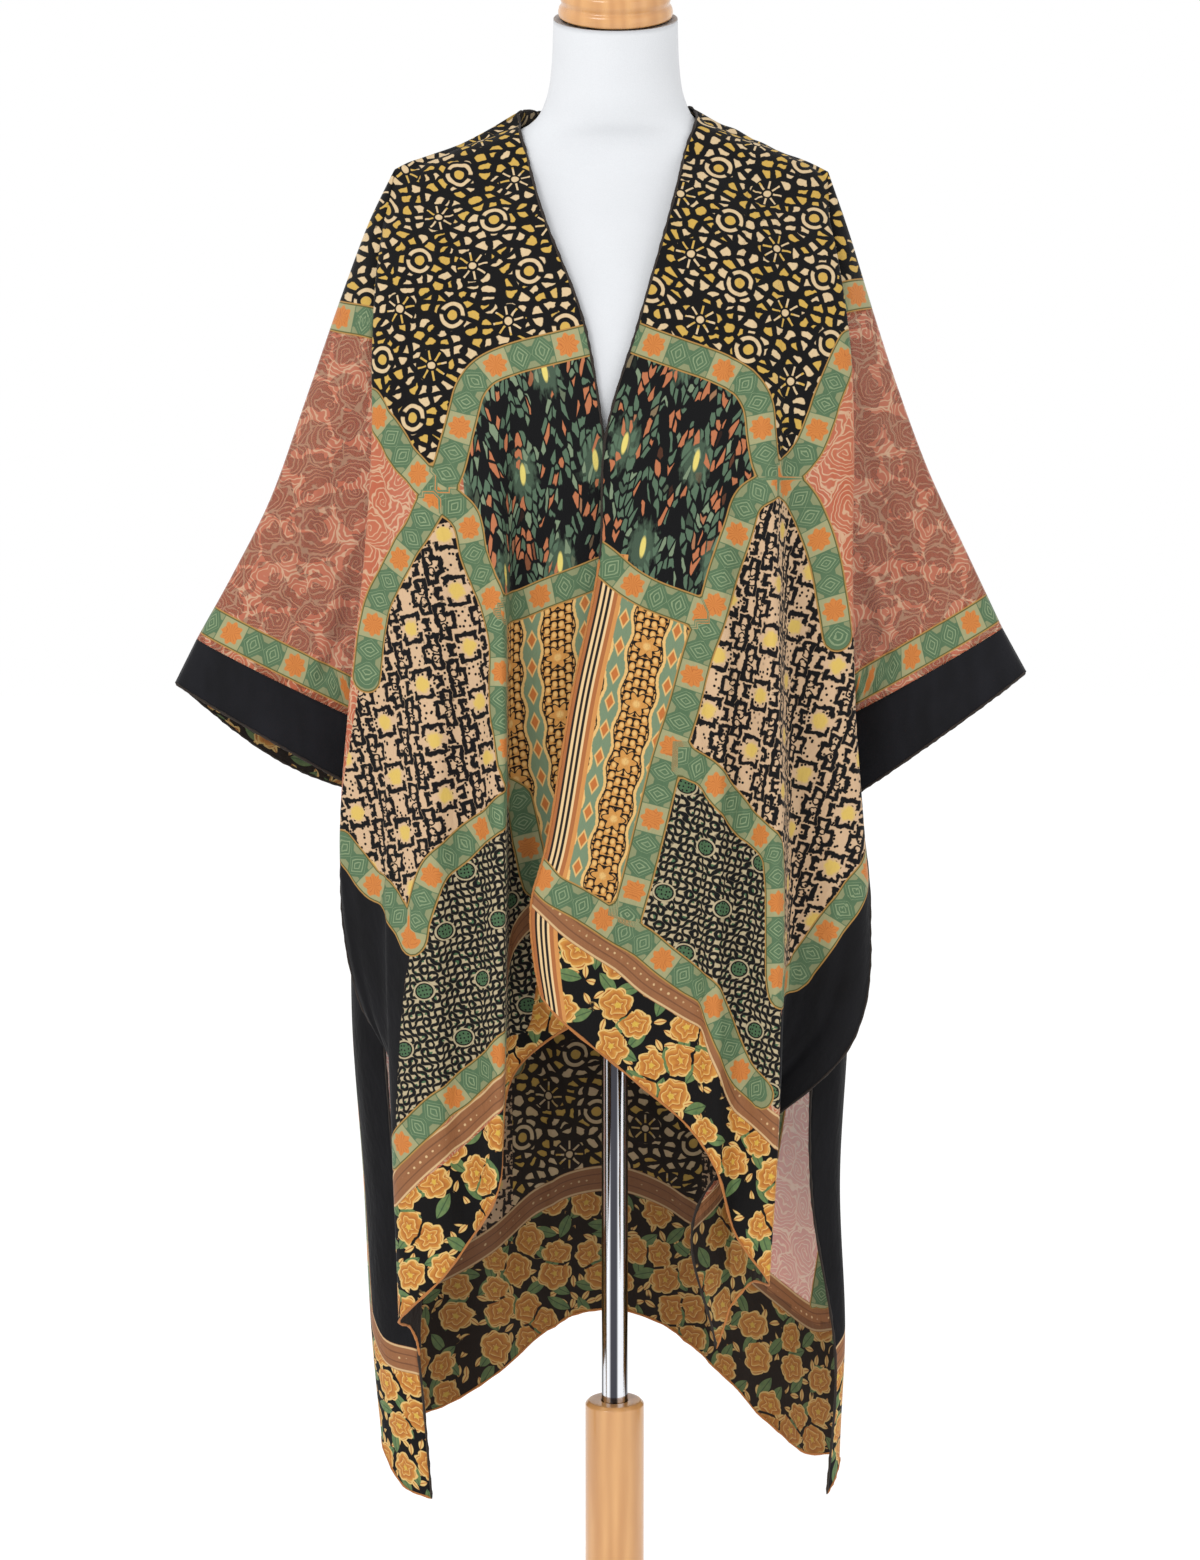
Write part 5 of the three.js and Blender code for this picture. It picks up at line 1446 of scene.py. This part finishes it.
class Back(ClothPanel):
    """The back, from the shoulder seams and the neck to the hem, with both sides turned forward."""

    side_pile = 54.0

    def __init__(self) -> None:
        """Takes the back's fold lines and creases."""
        super().__init__("back", BACK_FOLDS, 8, BACK_CREASES)
        self.grid[0, :, 1] = np.maximum(self.grid[0, :, 1], 0)

    def fields(self) -> dict[str, np.ndarray]:
        """Numbers for the print, mirrored about the middle of the back."""
        flat = self.chart.reshape(-1, 2)
        u, v = self.chart[..., 0] + 8, self.chart[..., 1]
        mirrored = np.stack((np.abs(u), v), -1).reshape(-1, 2)
        edge = np.minimum(np.abs(self.chart[..., 0] - self.chart[:, :1, 0]),
                          np.abs(self.chart[..., 0] - self.chart[:, -1:, 0])).ravel()
        hem = (v - v[-1:]).ravel()
        arch = smooth_outline(((0, 1322), (48, 1306), (87, 1294), (112, 1276), (124, 1244), (132, 1204),
                               (150, 1178), (172, 1142), (192, 1100), (206, 1050)))
        long_band = smooth_outline(((225, 1290), (190, 1226), (162, 1192), (136, 1172), (120, 1131),
                                    (108, 1080), (102, 1000), (98, 900), (96, 780), (94, 640)))
        waist = smooth_outline(((0, 1128), (40, 1108), (112, 1086)))
        t, s = path_field(mirrored, arch)
        for line in (long_band, waist):
            t2, s2 = path_field(mirrored, line)
            closer = np.abs(t2) < np.abs(t)
            t, s = np.where(closer, t2, t), np.where(closer, s2, s)
        low = v.ravel() < 1010
        side_t = edge - self.side_pile - 15
        inner_t = np.where(low, edge - self.side_pile - 112, 1e3)
        armed = v.ravel() < 990
        for other in (np.where(armed, side_t, 1e3), inner_t):
            closer = np.abs(other) < np.abs(t)
            t, s = np.where(closer, other, t), np.where(closer, v.ravel(), s)
        clear_hem = hem - 138
        t = np.where(clear_hem < 0, np.sign(t) * np.maximum(np.abs(t), 14 - clear_hem), t)
        yoke = ((0, 1322), (48, 1306), (87, 1294), (112, 1276), (124, 1244), (132, 1204), (150, 1190),
                (190, 1226), (225, 1290), (320, 1330), (320, 1700), (-20, 1700), (-20, 1322))
        chest = ((-20, 1322), (48, 1306), (87, 1294), (112, 1276), (124, 1244), (128, 1172), (120, 1131),
                 (112, 1086), (40, 1108), (-20, 1130))
        flank = ((150, 1180), (172, 1142), (206, 1050), (230, 990), (230, 200), (90, 200), (96, 780),
                 (102, 1000), (120, 1131), (136, 1170))
        out = {
            "band_t": t, "band_s": s,
            "border_t": hem - 128, "border_s": flat[:, 0], "edge_depth": np.full(len(flat), 60.0),
            "peonies": 120 - hem,
            "ikat": inside_field(mirrored, np.array(chest, float)),
            "fret": np.minimum(inside_field(mirrored, np.array(flank, float)), edge - self.side_pile - 112),
            "side_pile": np.where(armed, np.minimum(self.side_pile - edge, hem - 138), -40.0),
        }
        middle = np.minimum(98 - mirrored[:, 0], 1110 - mirrored[:, 1])
        out["pebbles"] = np.maximum(inside_field(mirrored, np.array(yoke, float)), middle)
        for name in ("pebbles", "fret"):
            out[name] = np.minimum(out[name], hem - 120)
        return out

    def edge_lines(self) -> dict[str, np.ndarray]:
        """Hem, both side edges below the armholes, and the neck."""
        start = ARMHOLE_STATIONS * self.rows_per_station
        neck = slice(6 * self.columns_per_fold, 10 * self.columns_per_fold + 1)
        return {"low_hem": self.grid[-1], "left_dark_hem": self.grid[start:, 0],
                "right_dark_hem": self.grid[start:, -1], "neck_dark_hem": self.grid[0, neck]}


@dataclass(frozen=True)
class SleeveCut:
    """Lines of one sleeve in millimetres.

    Attributes:
        fold: its top fold from the shoulder to the cuff seam.
        under: its underarm from the body to the cuff seam.
        room: half the room between its layers.
        cuff_corner: outer corner of the cuff.
        cuff_inner: inner corner of the cuff.
        back_drop: how much lower the back layer hangs at the cuff.
        band: the line of its upper green band, where the pebbles end.
        flat: width and length of its flat cut in metres; not used.
        cuff_flat: width and length of the cuff's flat cut in metres; not used.
    """

    fold: tuple[Point, ...]
    under: tuple[Point, ...]
    room: tuple[float, ...]
    cuff_corner: Point
    cuff_inner: Point
    back_drop: float
    band: Outline
    flat: tuple[float, float]
    cuff_flat: tuple[float, float]


LEFT_CUT = SleeveCut(
    fold=((-194, 0, 1465), (-216, 0, 1421), (-242, 0, 1354), (-274, 0, 1265), (-307, 0, 1176),
          (-341, 0, 1110), (-374, 0, 1052)),
    under=((-214, -4, 988), (-217, -6, 987), (-219, -8, 985), (-220, -10, 983), (-220, -12, 981),
           (-219, -13, 979), (-217, -14, 976)),
    room=(58, 50, 42, 34, 28, 25, 23),
    cuff_corner=(-394, 0, 1013), cuff_inner=(-214, -16, 912), back_drop=20,
    band=((-270, 1348), (-246, 1337), (-216, 1330), (-190, 1322)),
    flat=(0.42, 0.48), cuff_flat=(0.40, 0.066),
)

RIGHT_CUT = SleeveCut(
    fold=((187, 0, 1463), (205, 0, 1413), (226, 0, 1347), (252, 0, 1270), (280, 0, 1198), (313, 0, 1130),
          (346, 0, 1062)),
    under=((203, -4, 992), (206, -6, 992), (208, -8, 991), (209, -10, 990), (209, -12, 988),
           (208, -13, 986), (206, -14, 984)),
    room=(58, 50, 42, 34, 28, 25, 23),
    cuff_corner=(368, 0, 1023), cuff_inner=(204, -16, 908), back_drop=4,
    band=((180, 1346), (206, 1353), (224, 1357), (250, 1364)),
    flat=(0.39, 0.47), cuff_flat=(0.37, 0.07),
)


class Sleeve:
    """One wide sleeve, open from the armhole to its cuff, with the cuff sewn on."""

    ribs = 96
    layer_points = 64
    gusset_points = 9

    def __init__(self, side: Side, front: Front, back: Back) -> None:
        """Lofts the sleeve and its cuff.

        Args:
            side: which sleeve it is.
            front: the front that it is sewn to.
            back: the back that it is sewn to.
        """
        self.side = side
        self.word = "left" if side is Side.LEFT else "right"
        self.cut = LEFT_CUT if side is Side.LEFT else RIGHT_CUT
        self.front, self.back = front, back
        spans = len(self.cut.fold) - 1
        tops = smooth(np.array(self.cut.fold, float), [self.ribs // spans] * spans)
        unders = smooth(np.array(self.cut.under, float), [self.ribs // spans] * spans)
        share = np.linspace(0, 1, len(tops))
        room = np.interp(share, np.linspace(0, 1, len(self.cut.room)), self.cut.room)
        rings = [self.rib(top, under, half, self.cut.back_drop * at)
                 for top, under, half, at in zip(tops, unders, room, share)]
        hole = self.armhole()
        ease = np.clip(1 - share * spans, 0, 1)
        ease = ease * ease * (3 - 2 * ease)
        self.rings = np.array([hole * e + ring * (1 - e) for e, ring in zip(ease, rings)])
        end = self.rib(np.array(self.cut.cuff_corner, float), np.array(self.cut.cuff_inner, float),
                       self.cut.room[-1] * 1.05, self.cut.back_drop)
        reach = np.linspace(0, 1, 15)[:, None, None]
        self.cuff_rings = self.rings[-1][None] * (1 - reach) + end[None] * reach
        self.rings = self.creased(self.rings)

    def rib(self, top: np.ndarray, bottom: np.ndarray, room: float, drop: float) -> np.ndarray:
        """Loop round the sleeve: down its front layer, round the underarm and up its back layer."""
        n, g = self.layer_points, self.gusset_points
        front = np.linspace(0, 0.97, n + 1)
        turn = np.arange(1, g + 1) / (g + 1)
        share = np.concatenate((front, 0.97 + 0.03 * np.sin(np.pi * turn), front[:0:-1]))
        layer = np.concatenate((-np.ones(n + 1), -np.cos(np.pi * turn), np.ones(n)))
        p = top + (bottom - top) * share[:, None]
        half = np.where(layer > 0, 0.85, 1.0) * room
        p[:, 1] += layer * half * np.sqrt(np.maximum(0, 4 * share * (1 - share)))
        p[:, 2] -= np.where(layer > 0, drop * np.sin(np.pi * share), 0)
        return p

    def armhole(self) -> np.ndarray:
        """Loop along the body's own seam edges, with the underarm hanging between them."""
        n, g = self.layer_points, self.gusset_points
        share = np.linspace(0, 1, n + 1)
        per = ClothPanel.rows_per_station
        stations = np.where(share < SHOULDER_SHARE, share / SHOULDER_SHARE,
                            1 + (share - SHOULDER_SHARE) / (1 - SHOULDER_SHARE) * (ARMHOLE_STATIONS - 1))
        rows = stations * per
        back_column = 0 if self.side is Side.LEFT else -1
        edges = []
        for grid, column in ((self.front.grid, -1), (self.back.grid, back_column)):
            line = grid[:, column]
            edges.append(np.stack([np.interp(rows, np.arange(len(line)), line[:, k]) for k in range(3)], 1))
        turn = (np.arange(1, g + 1) / (g + 1))[:, None]
        under = edges[0][-1] * (1 - turn) + edges[1][-1] * turn
        under[:, 2] -= 16 * np.sin(np.pi * turn[:, 0])
        return np.concatenate((edges[0], under, edges[1][:0:-1]))

    def creased(self, rings: np.ndarray) -> np.ndarray:
        """Lays soft folds from the shoulder towards the cuff, deeper near the body."""
        count, points = rings.shape[:2]
        along = np.linspace(0, 1, count)[:, None]
        around = np.arange(points)[None, :] / points
        lift = np.zeros((count, points))
        for place, lean, depth, width in ((0.12, 0.02, 2.6, 0.016), (0.19, -0.03, -3.2, 0.022),
                                          (0.27, 0.03, 3.4, 0.02), (0.34, -0.02, -2.6, 0.018),
                                          (0.41, 0.03, 2.2, 0.014), (0.6, 0.02, 3.0, 0.02),
                                          (0.69, -0.03, -3.4, 0.024), (0.78, 0.03, 2.8, 0.018),
                                          (0.88, -0.02, -2.4, 0.02)):
            middle = place + lean * along
            fade = np.sin(np.pi * np.clip(along * 1.04, 0, 1)) ** 0.8
            lift += depth * fade * np.exp(-((around - middle) / width) ** 2)
        normal = self.outward(rings)
        return rings + normal * lift[..., None]

    def outward(self, rings: np.ndarray) -> np.ndarray:
        """Normals that face out of the sleeve."""
        normal = grid_normals(rings, loop=True)
        middle = rings.mean(axis=1, keepdims=True)
        return normal if np.sum(normal * (rings - middle)) > 0 else -normal

    def chart(self, rings: np.ndarray) -> tuple[np.ndarray, np.ndarray]:
        """Cloth coordinates of the sleeve laid flat, the back layer shifted beside the front one."""
        place = np.arange(rings.shape[1])[None, :] > self.layer_points + self.gusset_points // 2
        return np.where(place, 640 - rings[..., 0], rings[..., 0]), rings[..., 2]

    def build(self, name: str, rings: np.ndarray, outer: bpy.types.Material,
              inner: bpy.types.Material, fields: dict[str, np.ndarray]) -> bpy.types.Object:
        """Makes a tube of cloth from rings, with its fields and thickness."""
        count, points = rings.shape[:2]
        flip = np.sum(grid_normals(rings, loop=True) * self.outward(rings)) < 0
        piece = make_object(name, rings.reshape(-1, 3), grid_faces(count, points, loop=True, flip=not flip),
                            [outer, inner])
        for key, values in fields.items():
            write_field(piece, key, values)
        thicken(piece)
        return piece

    def sleeve_fields(self) -> dict[str, np.ndarray]:
        """Numbers for the sleeve's print: its chart, pebbles and two bands."""
        x, y = self.chart(self.rings)
        flat = self.rings.reshape(-1, 3)
        steps = np.linalg.norm(np.diff(self.rings, axis=0), axis=2)
        left = np.concatenate((np.cumsum(steps[::-1], 0)[::-1], np.zeros((1, self.rings.shape[1]))))
        around = np.linalg.norm(self.rings - self.rings[:, :1], axis=2)
        seam_t = (left - 20.0).ravel()
        t, s = path_field(flat[:, [0, 2]], smooth_outline(self.cut.band))
        above = np.interp(flat[:, 0], *np.array(self.cut.band, float).T) + 13 - flat[:, 2]
        upper = np.abs(t) < np.abs(seam_t)
        return {
            "chart_x": x, "chart_y": y,
            "band_t": np.abs(np.where(upper, t, seam_t)), "band_s": np.where(upper, s, around.ravel()),
            "pebbles": -above,
        }

    def cuff_fields(self) -> dict[str, np.ndarray]:
        """Numbers for the cuff's plain pile."""
        x, y = self.chart(self.cuff_rings)
        return {"chart_x": x, "chart_y": y}


LEFT_CREASES = (
    Crease((0.50, 0.02), (0.47, 0.34), 1.8, 0.014, 0.01),
    Crease((0.56, 0.02), (0.53, 0.37), -2.2, 0.016),
    Crease((0.61, 0.03), (0.60, 0.40), 2.0, 0.014, -0.008),
    Crease((0.68, 0.04), (0.66, 0.50), -2.4, 0.020, 0.010),
    Crease((0.76, 0.05), (0.78, 0.42), 1.8, 0.018, -0.010),
    Crease((0.46, 0.42), (0.45, 0.96), -2.4, 0.020, 0.012),
    Crease((0.57, 0.50), (0.56, 0.98), 2.2, 0.020, 0.010),
    Crease((0.74, 0.45), (0.75, 0.97), 2.8, 0.022, -0.010),
    Crease((0.87, 0.55), (0.88, 0.99), -2.6, 0.020, 0.010),
)

RIGHT_CREASES = (
    Crease((0.44, 0.03), (0.40, 0.36), -1.8, 0.016, 0.010),
    Crease((0.54, 0.03), (0.52, 0.40), 1.9, 0.015, -0.008),
    Crease((0.66, 0.03), (0.67, 0.42), -2.0, 0.016, 0.010),
    Crease((0.75, 0.04), (0.76, 0.38), 1.8, 0.018),
    Crease((0.34, 0.46), (0.36, 0.98), 2.0, 0.022, 0.010),
    Crease((0.45, 0.52), (0.44, 0.97), -2.2, 0.020, -0.010),
    Crease((0.71, 0.46), (0.72, 0.96), 2.4, 0.020, 0.010),
    Crease((0.84, 0.52), (0.83, 0.98), -2.6, 0.022, -0.010),
)

BACK_CREASES = (
    Crease((0.22, 0.05), (0.20, 0.45), -2.4, 0.012, 0.006),
    Crease((0.31, 0.06), (0.30, 0.60), 2.6, 0.014, -0.006),
    Crease((0.40, 0.12), (0.42, 0.92), -2.2, 0.012, 0.008),
    Crease((0.55, 0.08), (0.53, 0.70), 2.4, 0.013, 0.007),
    Crease((0.64, 0.10), (0.66, 0.95), -2.6, 0.014, -0.008),
    Crease((0.74, 0.06), (0.75, 0.52), 2.2, 0.012, 0.006),
    Crease((0.12, 0.60), (0.13, 0.98), 2.4, 0.012, 0.006),
    Crease((0.88, 0.58), (0.87, 0.98), -2.4, 0.012, -0.006),
    Crease((0.49, 0.55), (0.48, 0.98), -2.0, 0.015, 0.010),
)


def rounded(profile: Sequence[tuple[float, float]], radius: float) -> list[tuple[float, float]]:
    """Rounds the corners of a turned profile."""
    points = [np.array(p, float) for p in profile]
    out = [points[0]]
    for before, corner, after in zip(points[:-2], points[1:-1], points[2:]):
        ins, outs = before - corner, after - corner
        a = corner + ins * min(radius / max(np.linalg.norm(ins), 1e-6), 0.45)
        b = corner + outs * min(radius / max(np.linalg.norm(outs), 1e-6), 0.45)
        out += [a * (1 - t) ** 2 + corner * 2 * t * (1 - t) + b * t * t for t in np.linspace(0, 1, 5)]
    out.append(points[-1])
    return [(float(p[0]), float(p[1])) for p in out]


def settle(piece: bpy.types.Object, node: str) -> None:
    """Joins a piece to the root body and hides the model's node that it stands for."""
    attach(piece, "root")
    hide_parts(node)


def quads_area(grid: np.ndarray, loop: bool = False) -> float:
    """Area of a grid of points, in square metres."""
    g = np.concatenate((grid, grid[:, :1]), 1) if loop else grid
    one = g[1:, 1:] - g[:-1, :-1]
    two = g[1:, :-1] - g[:-1, 1:]
    return float(np.linalg.norm(np.cross(one, two), axis=-1).sum() / 2 * MM * MM)


def coat_finishes() -> list[bpy.types.Material]:
    """Finishes of the panels: mixed, chiffon and each print, for the outer and then the inner side."""
    made = []
    for word, wrong in (("outside", False), ("inside", True)):
        made.append(PrintedCloth("meeting_prints_" + word, COAT_PRINTS, shaded_wrong_side=wrong,
                                 striped=True).material())
        made.append(PrintedCloth("chiffon_" + word, shaded_wrong_side=wrong).material())
        made += [PrintedCloth(f"{name}_{word}", whole=pattern, shaded_wrong_side=wrong).material()
                 for name, pattern in COAT_PRINTS]
    return made


class Coat:
    """The whole coat: two fronts, the back, two sleeves and two cuffs."""

    def __init__(self) -> None:
        """Lofts the panels and builds the finishes."""
        self.fronts = {side: Front(side) for side in Side}
        self.back = Back()
        self.finishes = coat_finishes()
        self.thread = PlainFinish("hem_thread", dye(140, 82, 38), dye(190, 126, 64), 0.9, grain=900,
                                  relief=0.9, sheen=0.05).material()
        self.dark = PlainFinish("dark_thread", dye(18, 15, 14), dye(52, 40, 30), 0.9, grain=900,
                                relief=0.9, sheen=0.05).material()

    def lay(self, panel: ClothPanel) -> None:
        """Builds one panel with its hems and measures its area."""
        piece = panel.build(self.finishes)
        settle(piece, panel.name)
        hems = panel.hems(self.thread, self.dark)
        for hem in hems:
            settle(hem, panel.name)
        area = quads_area(panel.grid)

    def build(self) -> None:
        """Builds every panel, sleeve and cuff."""
        for panel in (*self.fronts.values(), self.back):
            self.lay(panel)
        outer, inner = (PrintedCloth("sleeve_" + word, (("pebbles", Pebbles()),), shaded_wrong_side=wrong,
                                     sheer=0.6, bordered=False, shadowed=True).material()
                        for word, wrong in (("outside", False), ("inside", True)))
        for side in Side:
            sleeve = Sleeve(side, self.fronts[side], self.back)
            piece = sleeve.build(f"sleeve_{sleeve.word}_cloth", sleeve.rings, outer, inner,
                                 sleeve.sleeve_fields())
            settle(piece, "sleeve_" + sleeve.word)
            self.declare(sleeve.rings)
            cuff = self.cuff(sleeve)
            LOG.info("%s sleeve and cuff built, cuff %s", sleeve.word, cuff.name)

    def cuff(self, sleeve: Sleeve) -> bpy.types.Object:
        """Builds one cuff of black velvet, printed inside, with its rolled edge."""
        outer = VelvetFinish("cuff_velvet_" + sleeve.word).material()
        inner = PrintedCloth("cuff_inside_" + sleeve.word, whole=Peonies(), shaded_wrong_side=True, bordered=False)
        rings = sleeve.cuff_rings
        fields = sleeve.cuff_fields()
        fields["band_t"] = np.full(rings.shape[:2], 99.0)
        fields["band_s"] = fields["chart_x"]
        piece = sleeve.build(f"cuff_{sleeve.word}_cloth", rings, outer, inner.material(), fields)
        settle(piece, "cuff_" + sleeve.word)
        loop = np.concatenate((rings[-1], rings[-1][:1]))
        edge = tube(f"cuff_{sleeve.word}_edge", loop, 1.2, self.dark, ragged=0.3)
        settle(edge, "cuff_" + sleeve.word)
        self.declare(rings)
        return piece

    def declare(self, rings: np.ndarray) -> None:
        area = quads_area(rings, loop=True)


@dataclass(frozen=True)
class VelvetFinish:
    """Plain black velvet that catches light at its edges."""

    name: str

    def material(self) -> bpy.types.Material:
        """Builds the finish as a material."""
        g = Graph(self.name)
        u, v = g.field("chart_x"), g.field("chart_y")
        nap = g.noise(u * 0.05, v * 0.02)
        fuzz = g.noise(u * 1.6, v * 1.6)
        surface = g.node("ShaderNodeBsdfPrincipled")
        g.feed(surface.inputs["Base Color"], g.mix(nap, dye(10, 10, 12), dye(26, 26, 31)))
        surface.inputs["Roughness"].default_value = 0.9
        surface.inputs["Specular IOR Level"].default_value = 0.2
        surface.inputs["Sheen Weight"].default_value = 0.07
        surface.inputs["Sheen Roughness"].default_value = 0.4
        bump = g.node("ShaderNodeBump")
        bump.inputs["Strength"].default_value = 0.4
        bump.inputs["Distance"].default_value = 0.0012
        g.feed(bump.inputs["Height"], fuzz * 0.5 + nap * 0.8)
        g.tree.links.new(bump.outputs[0], surface.inputs["Normal"])
        return g.finished(surface)


@dataclass
class DressForm:
    """Linen-covered torso with its turned neck cap."""

    bottom: float = 800.0
    neck_top: float = 1592.0
    rings: int = 170
    sides: int = 112
    cap_tilt: float = 22.0
    cap_profile: tuple[tuple[float, float], ...] = (
        (0, 0.4), (46, 0.4), (49.5, 2.2), (50, 6), (49, 10), (46.5, 12.5), (47.5, 15), (48.5, 18), (47, 24),
        (41, 29), (30, 33), (15, 35.5), (0, 36))

    def build(self) -> None:
        """Builds the torso and the cap."""
        linen = PlainFinish("linen_weave", dye(216, 218, 221), dye(200, 202, 205), 0.85, grain=900,
                            relief=0.5, sheen=0.1).material()
        wood = Wood("cap_wood", (70, 70, 9), 0.22).material()
        heights = np.linspace(self.bottom, self.neck_top, self.rings)
        half, front, back, slope = TorsoForm.section(heights)
        turn = np.linspace(0, 2 * np.pi, self.sides, endpoint=False)
        depth, middle = (back - front) / 2, (back + front) / 2
        ring = np.stack((
            half[:, None] * np.cos(turn)[None],
            middle[:, None] + depth[:, None] * np.sin(turn)[None],
            heights[:, None] + depth[:, None] * np.sin(turn)[None] * np.tan(np.radians(slope))[:, None]), -1)
        points = ring.reshape(-1, 3)
        faces = grid_faces(self.rings, self.sides, loop=True, flip=True)
        faces = [f[::-1] for f in faces]
        faces.append(tuple(range(self.sides))[::-1])
        faces.append(tuple(len(points) - self.sides + i for i in range(self.sides)))
        torso = make_object("linen_form", points, faces, [linen])
        settle(torso, "torso")
        cap = lathe("wood_cap", rounded(self.cap_profile, 1.2), wood)
        tilt = math.radians(self.cap_tilt)
        cap.rotation_euler = (tilt, 0, 0)
        cap.location = (0, (-18 - 0.35 * math.sin(tilt)) * MM, (self.neck_top + 0.35 * math.cos(tilt)) * MM)
        settle(cap, "neck_cap")
        LOG.info("dress form built")


@dataclass
class Stand:
    """Chrome pole, turned post and round base."""

    pole_radius: float = 12.0
    pole_span: tuple[float, float] = (292.5, 859.5)
    post: tuple[tuple[float, float], ...] = (
        (0, 26.4), (27, 26.4), (27, 349), (24, 352), (12.4, 352), (12.4, 292.0), (0, 292.0))
    base: tuple[tuple[float, float], ...] = (
        (0, 0), (202, 0), (205, 3), (205, 14), (202, 20), (195, 26), (0, 26))

    def steel(self) -> bpy.types.Material:
        """Polished steel with dark streaks from top to bottom painted into its colour as reflections of the
        dark room.
        """
        g = Graph("polished_steel")
        x, y, _ = g.parts(g.node("ShaderNodeTexCoord").outputs["Object"])
        # Painted reflection: five dark upright streaks round the pole, set by the angle about its axis.
        wave = g.math("SINE", g.math("ARCTAN2", y, x) * 5 + 0.4)
        surface = g.node("ShaderNodeBsdfPrincipled")
        g.feed(surface.inputs["Base Color"], g.mix(g.below(wave, -0.1, 0.7), dye(226, 228, 232),
                                                   dye(66, 66, 72)))
        surface.inputs["Metallic"].default_value = 1.0
        surface.inputs["Roughness"].default_value = 0.12
        return g.finished(surface)

    def build(self) -> None:
        """Builds the pole, the post and the base."""
        wood = Wood("post_wood", (70, 70, 9), 0.24).material()
        flat_wood = Wood("base_wood", (9, 70, 70), 0.26).material()
        steel = self.steel()
        low, high = self.pole_span
        pole = lathe("steel_pole", rounded(((0, low), (self.pole_radius, low), (self.pole_radius, high),
                                            (0, high)), 0.8), steel)
        settle(pole, "pole")
        post = lathe("wood_post", rounded(self.post, 0.8), wood)
        settle(post, "post")
        base = lathe("wood_base", rounded(self.base, 1.5), flat_wood, sides=144)
        settle(base, "base")
        LOG.info("stand built")


@dataclass
class Studio:
    """White ground, soft lights and the photograph's camera."""

    def light(self, name: str, place: Point, target: Point, size: float, power: float) -> None:
        """Hangs one soft square light that faces a target."""
        data = bpy.data.lights.new(name, "AREA")
        data.shape, data.size, data.energy = "SQUARE", size, power
        lamp = bpy.data.objects.new(name, data)
        lamp.location = place
        way = Vector(target) - Vector(place)
        lamp.rotation_euler = way.to_track_quat("-Z", "Y").to_euler()
        bpy.context.scene.collection.objects.link(lamp)

    def floor(self) -> bpy.types.Object:
        """A plain pale floor that glows a little."""
        g = Graph("floor_white")
        surface = g.node("ShaderNodeBsdfPrincipled")
        surface.inputs["Base Color"].default_value = dye(238, 238, 238)
        surface.inputs["Roughness"].default_value = 0.95
        surface.inputs["Specular IOR Level"].default_value = 0.0
        surface.inputs["Emission Color"].default_value = (1.0, 1.0, 1.0, 1.0)
        surface.inputs["Emission Strength"].default_value = 0.22
        white = g.finished(surface)
        corners = [(x * 14000, y * 14000, -1) for x, y in ((-1, -1), (1, -1), (1, 1), (-1, 1))]
        return make_object("floor", np.array(corners, float), [(0, 1, 2, 3)], [white])

    def build(self) -> None:
        """Sets the scene up round the coat."""
        scene = bpy.context.scene
        world = bpy.data.worlds.new("studio")
        world.use_nodes = True
        sky = next(n for n in world.node_tree.nodes if n.type == "BACKGROUND")
        sky.inputs["Color"].default_value = (1.0, 1.0, 1.0, 1.0)
        sky.inputs["Strength"].default_value = 1.0
        scene.world = world
        self.floor()
        self.light("key", (-1.7, -2.6, 3.0), (0, 0, 1.1), 1.3, 42)
        self.light("fill", (2.4, -2.2, 1.6), (0, 0, 1.0), 2.0, 7)
        camera = bpy.data.cameras.new("photo_view")
        camera.lens, camera.sensor_width = EYE_LENS, 36.0
        camera.sensor_fit = "AUTO"
        eye = bpy.data.objects.new("photo_view", camera)
        eye.location = tuple(EYE * MM)
        eye.rotation_euler = (math.radians(90 - EYE_PITCH), 0, 0)
        scene.collection.objects.link(eye)
        scene.camera = eye
        scene.view_settings.view_transform = "Standard"
        LOG.info("studio set")


def main() -> None:
    """Builds the coat, its form, its stand and the studio, and hands them to the frame."""
    logging.basicConfig(level=logging.INFO, format="%(name)s: %(message)s")
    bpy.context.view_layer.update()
    DressForm().build()
    Stand().build()
    Coat().build()
    Studio().build()


if __name__ == "__main__":
    main()
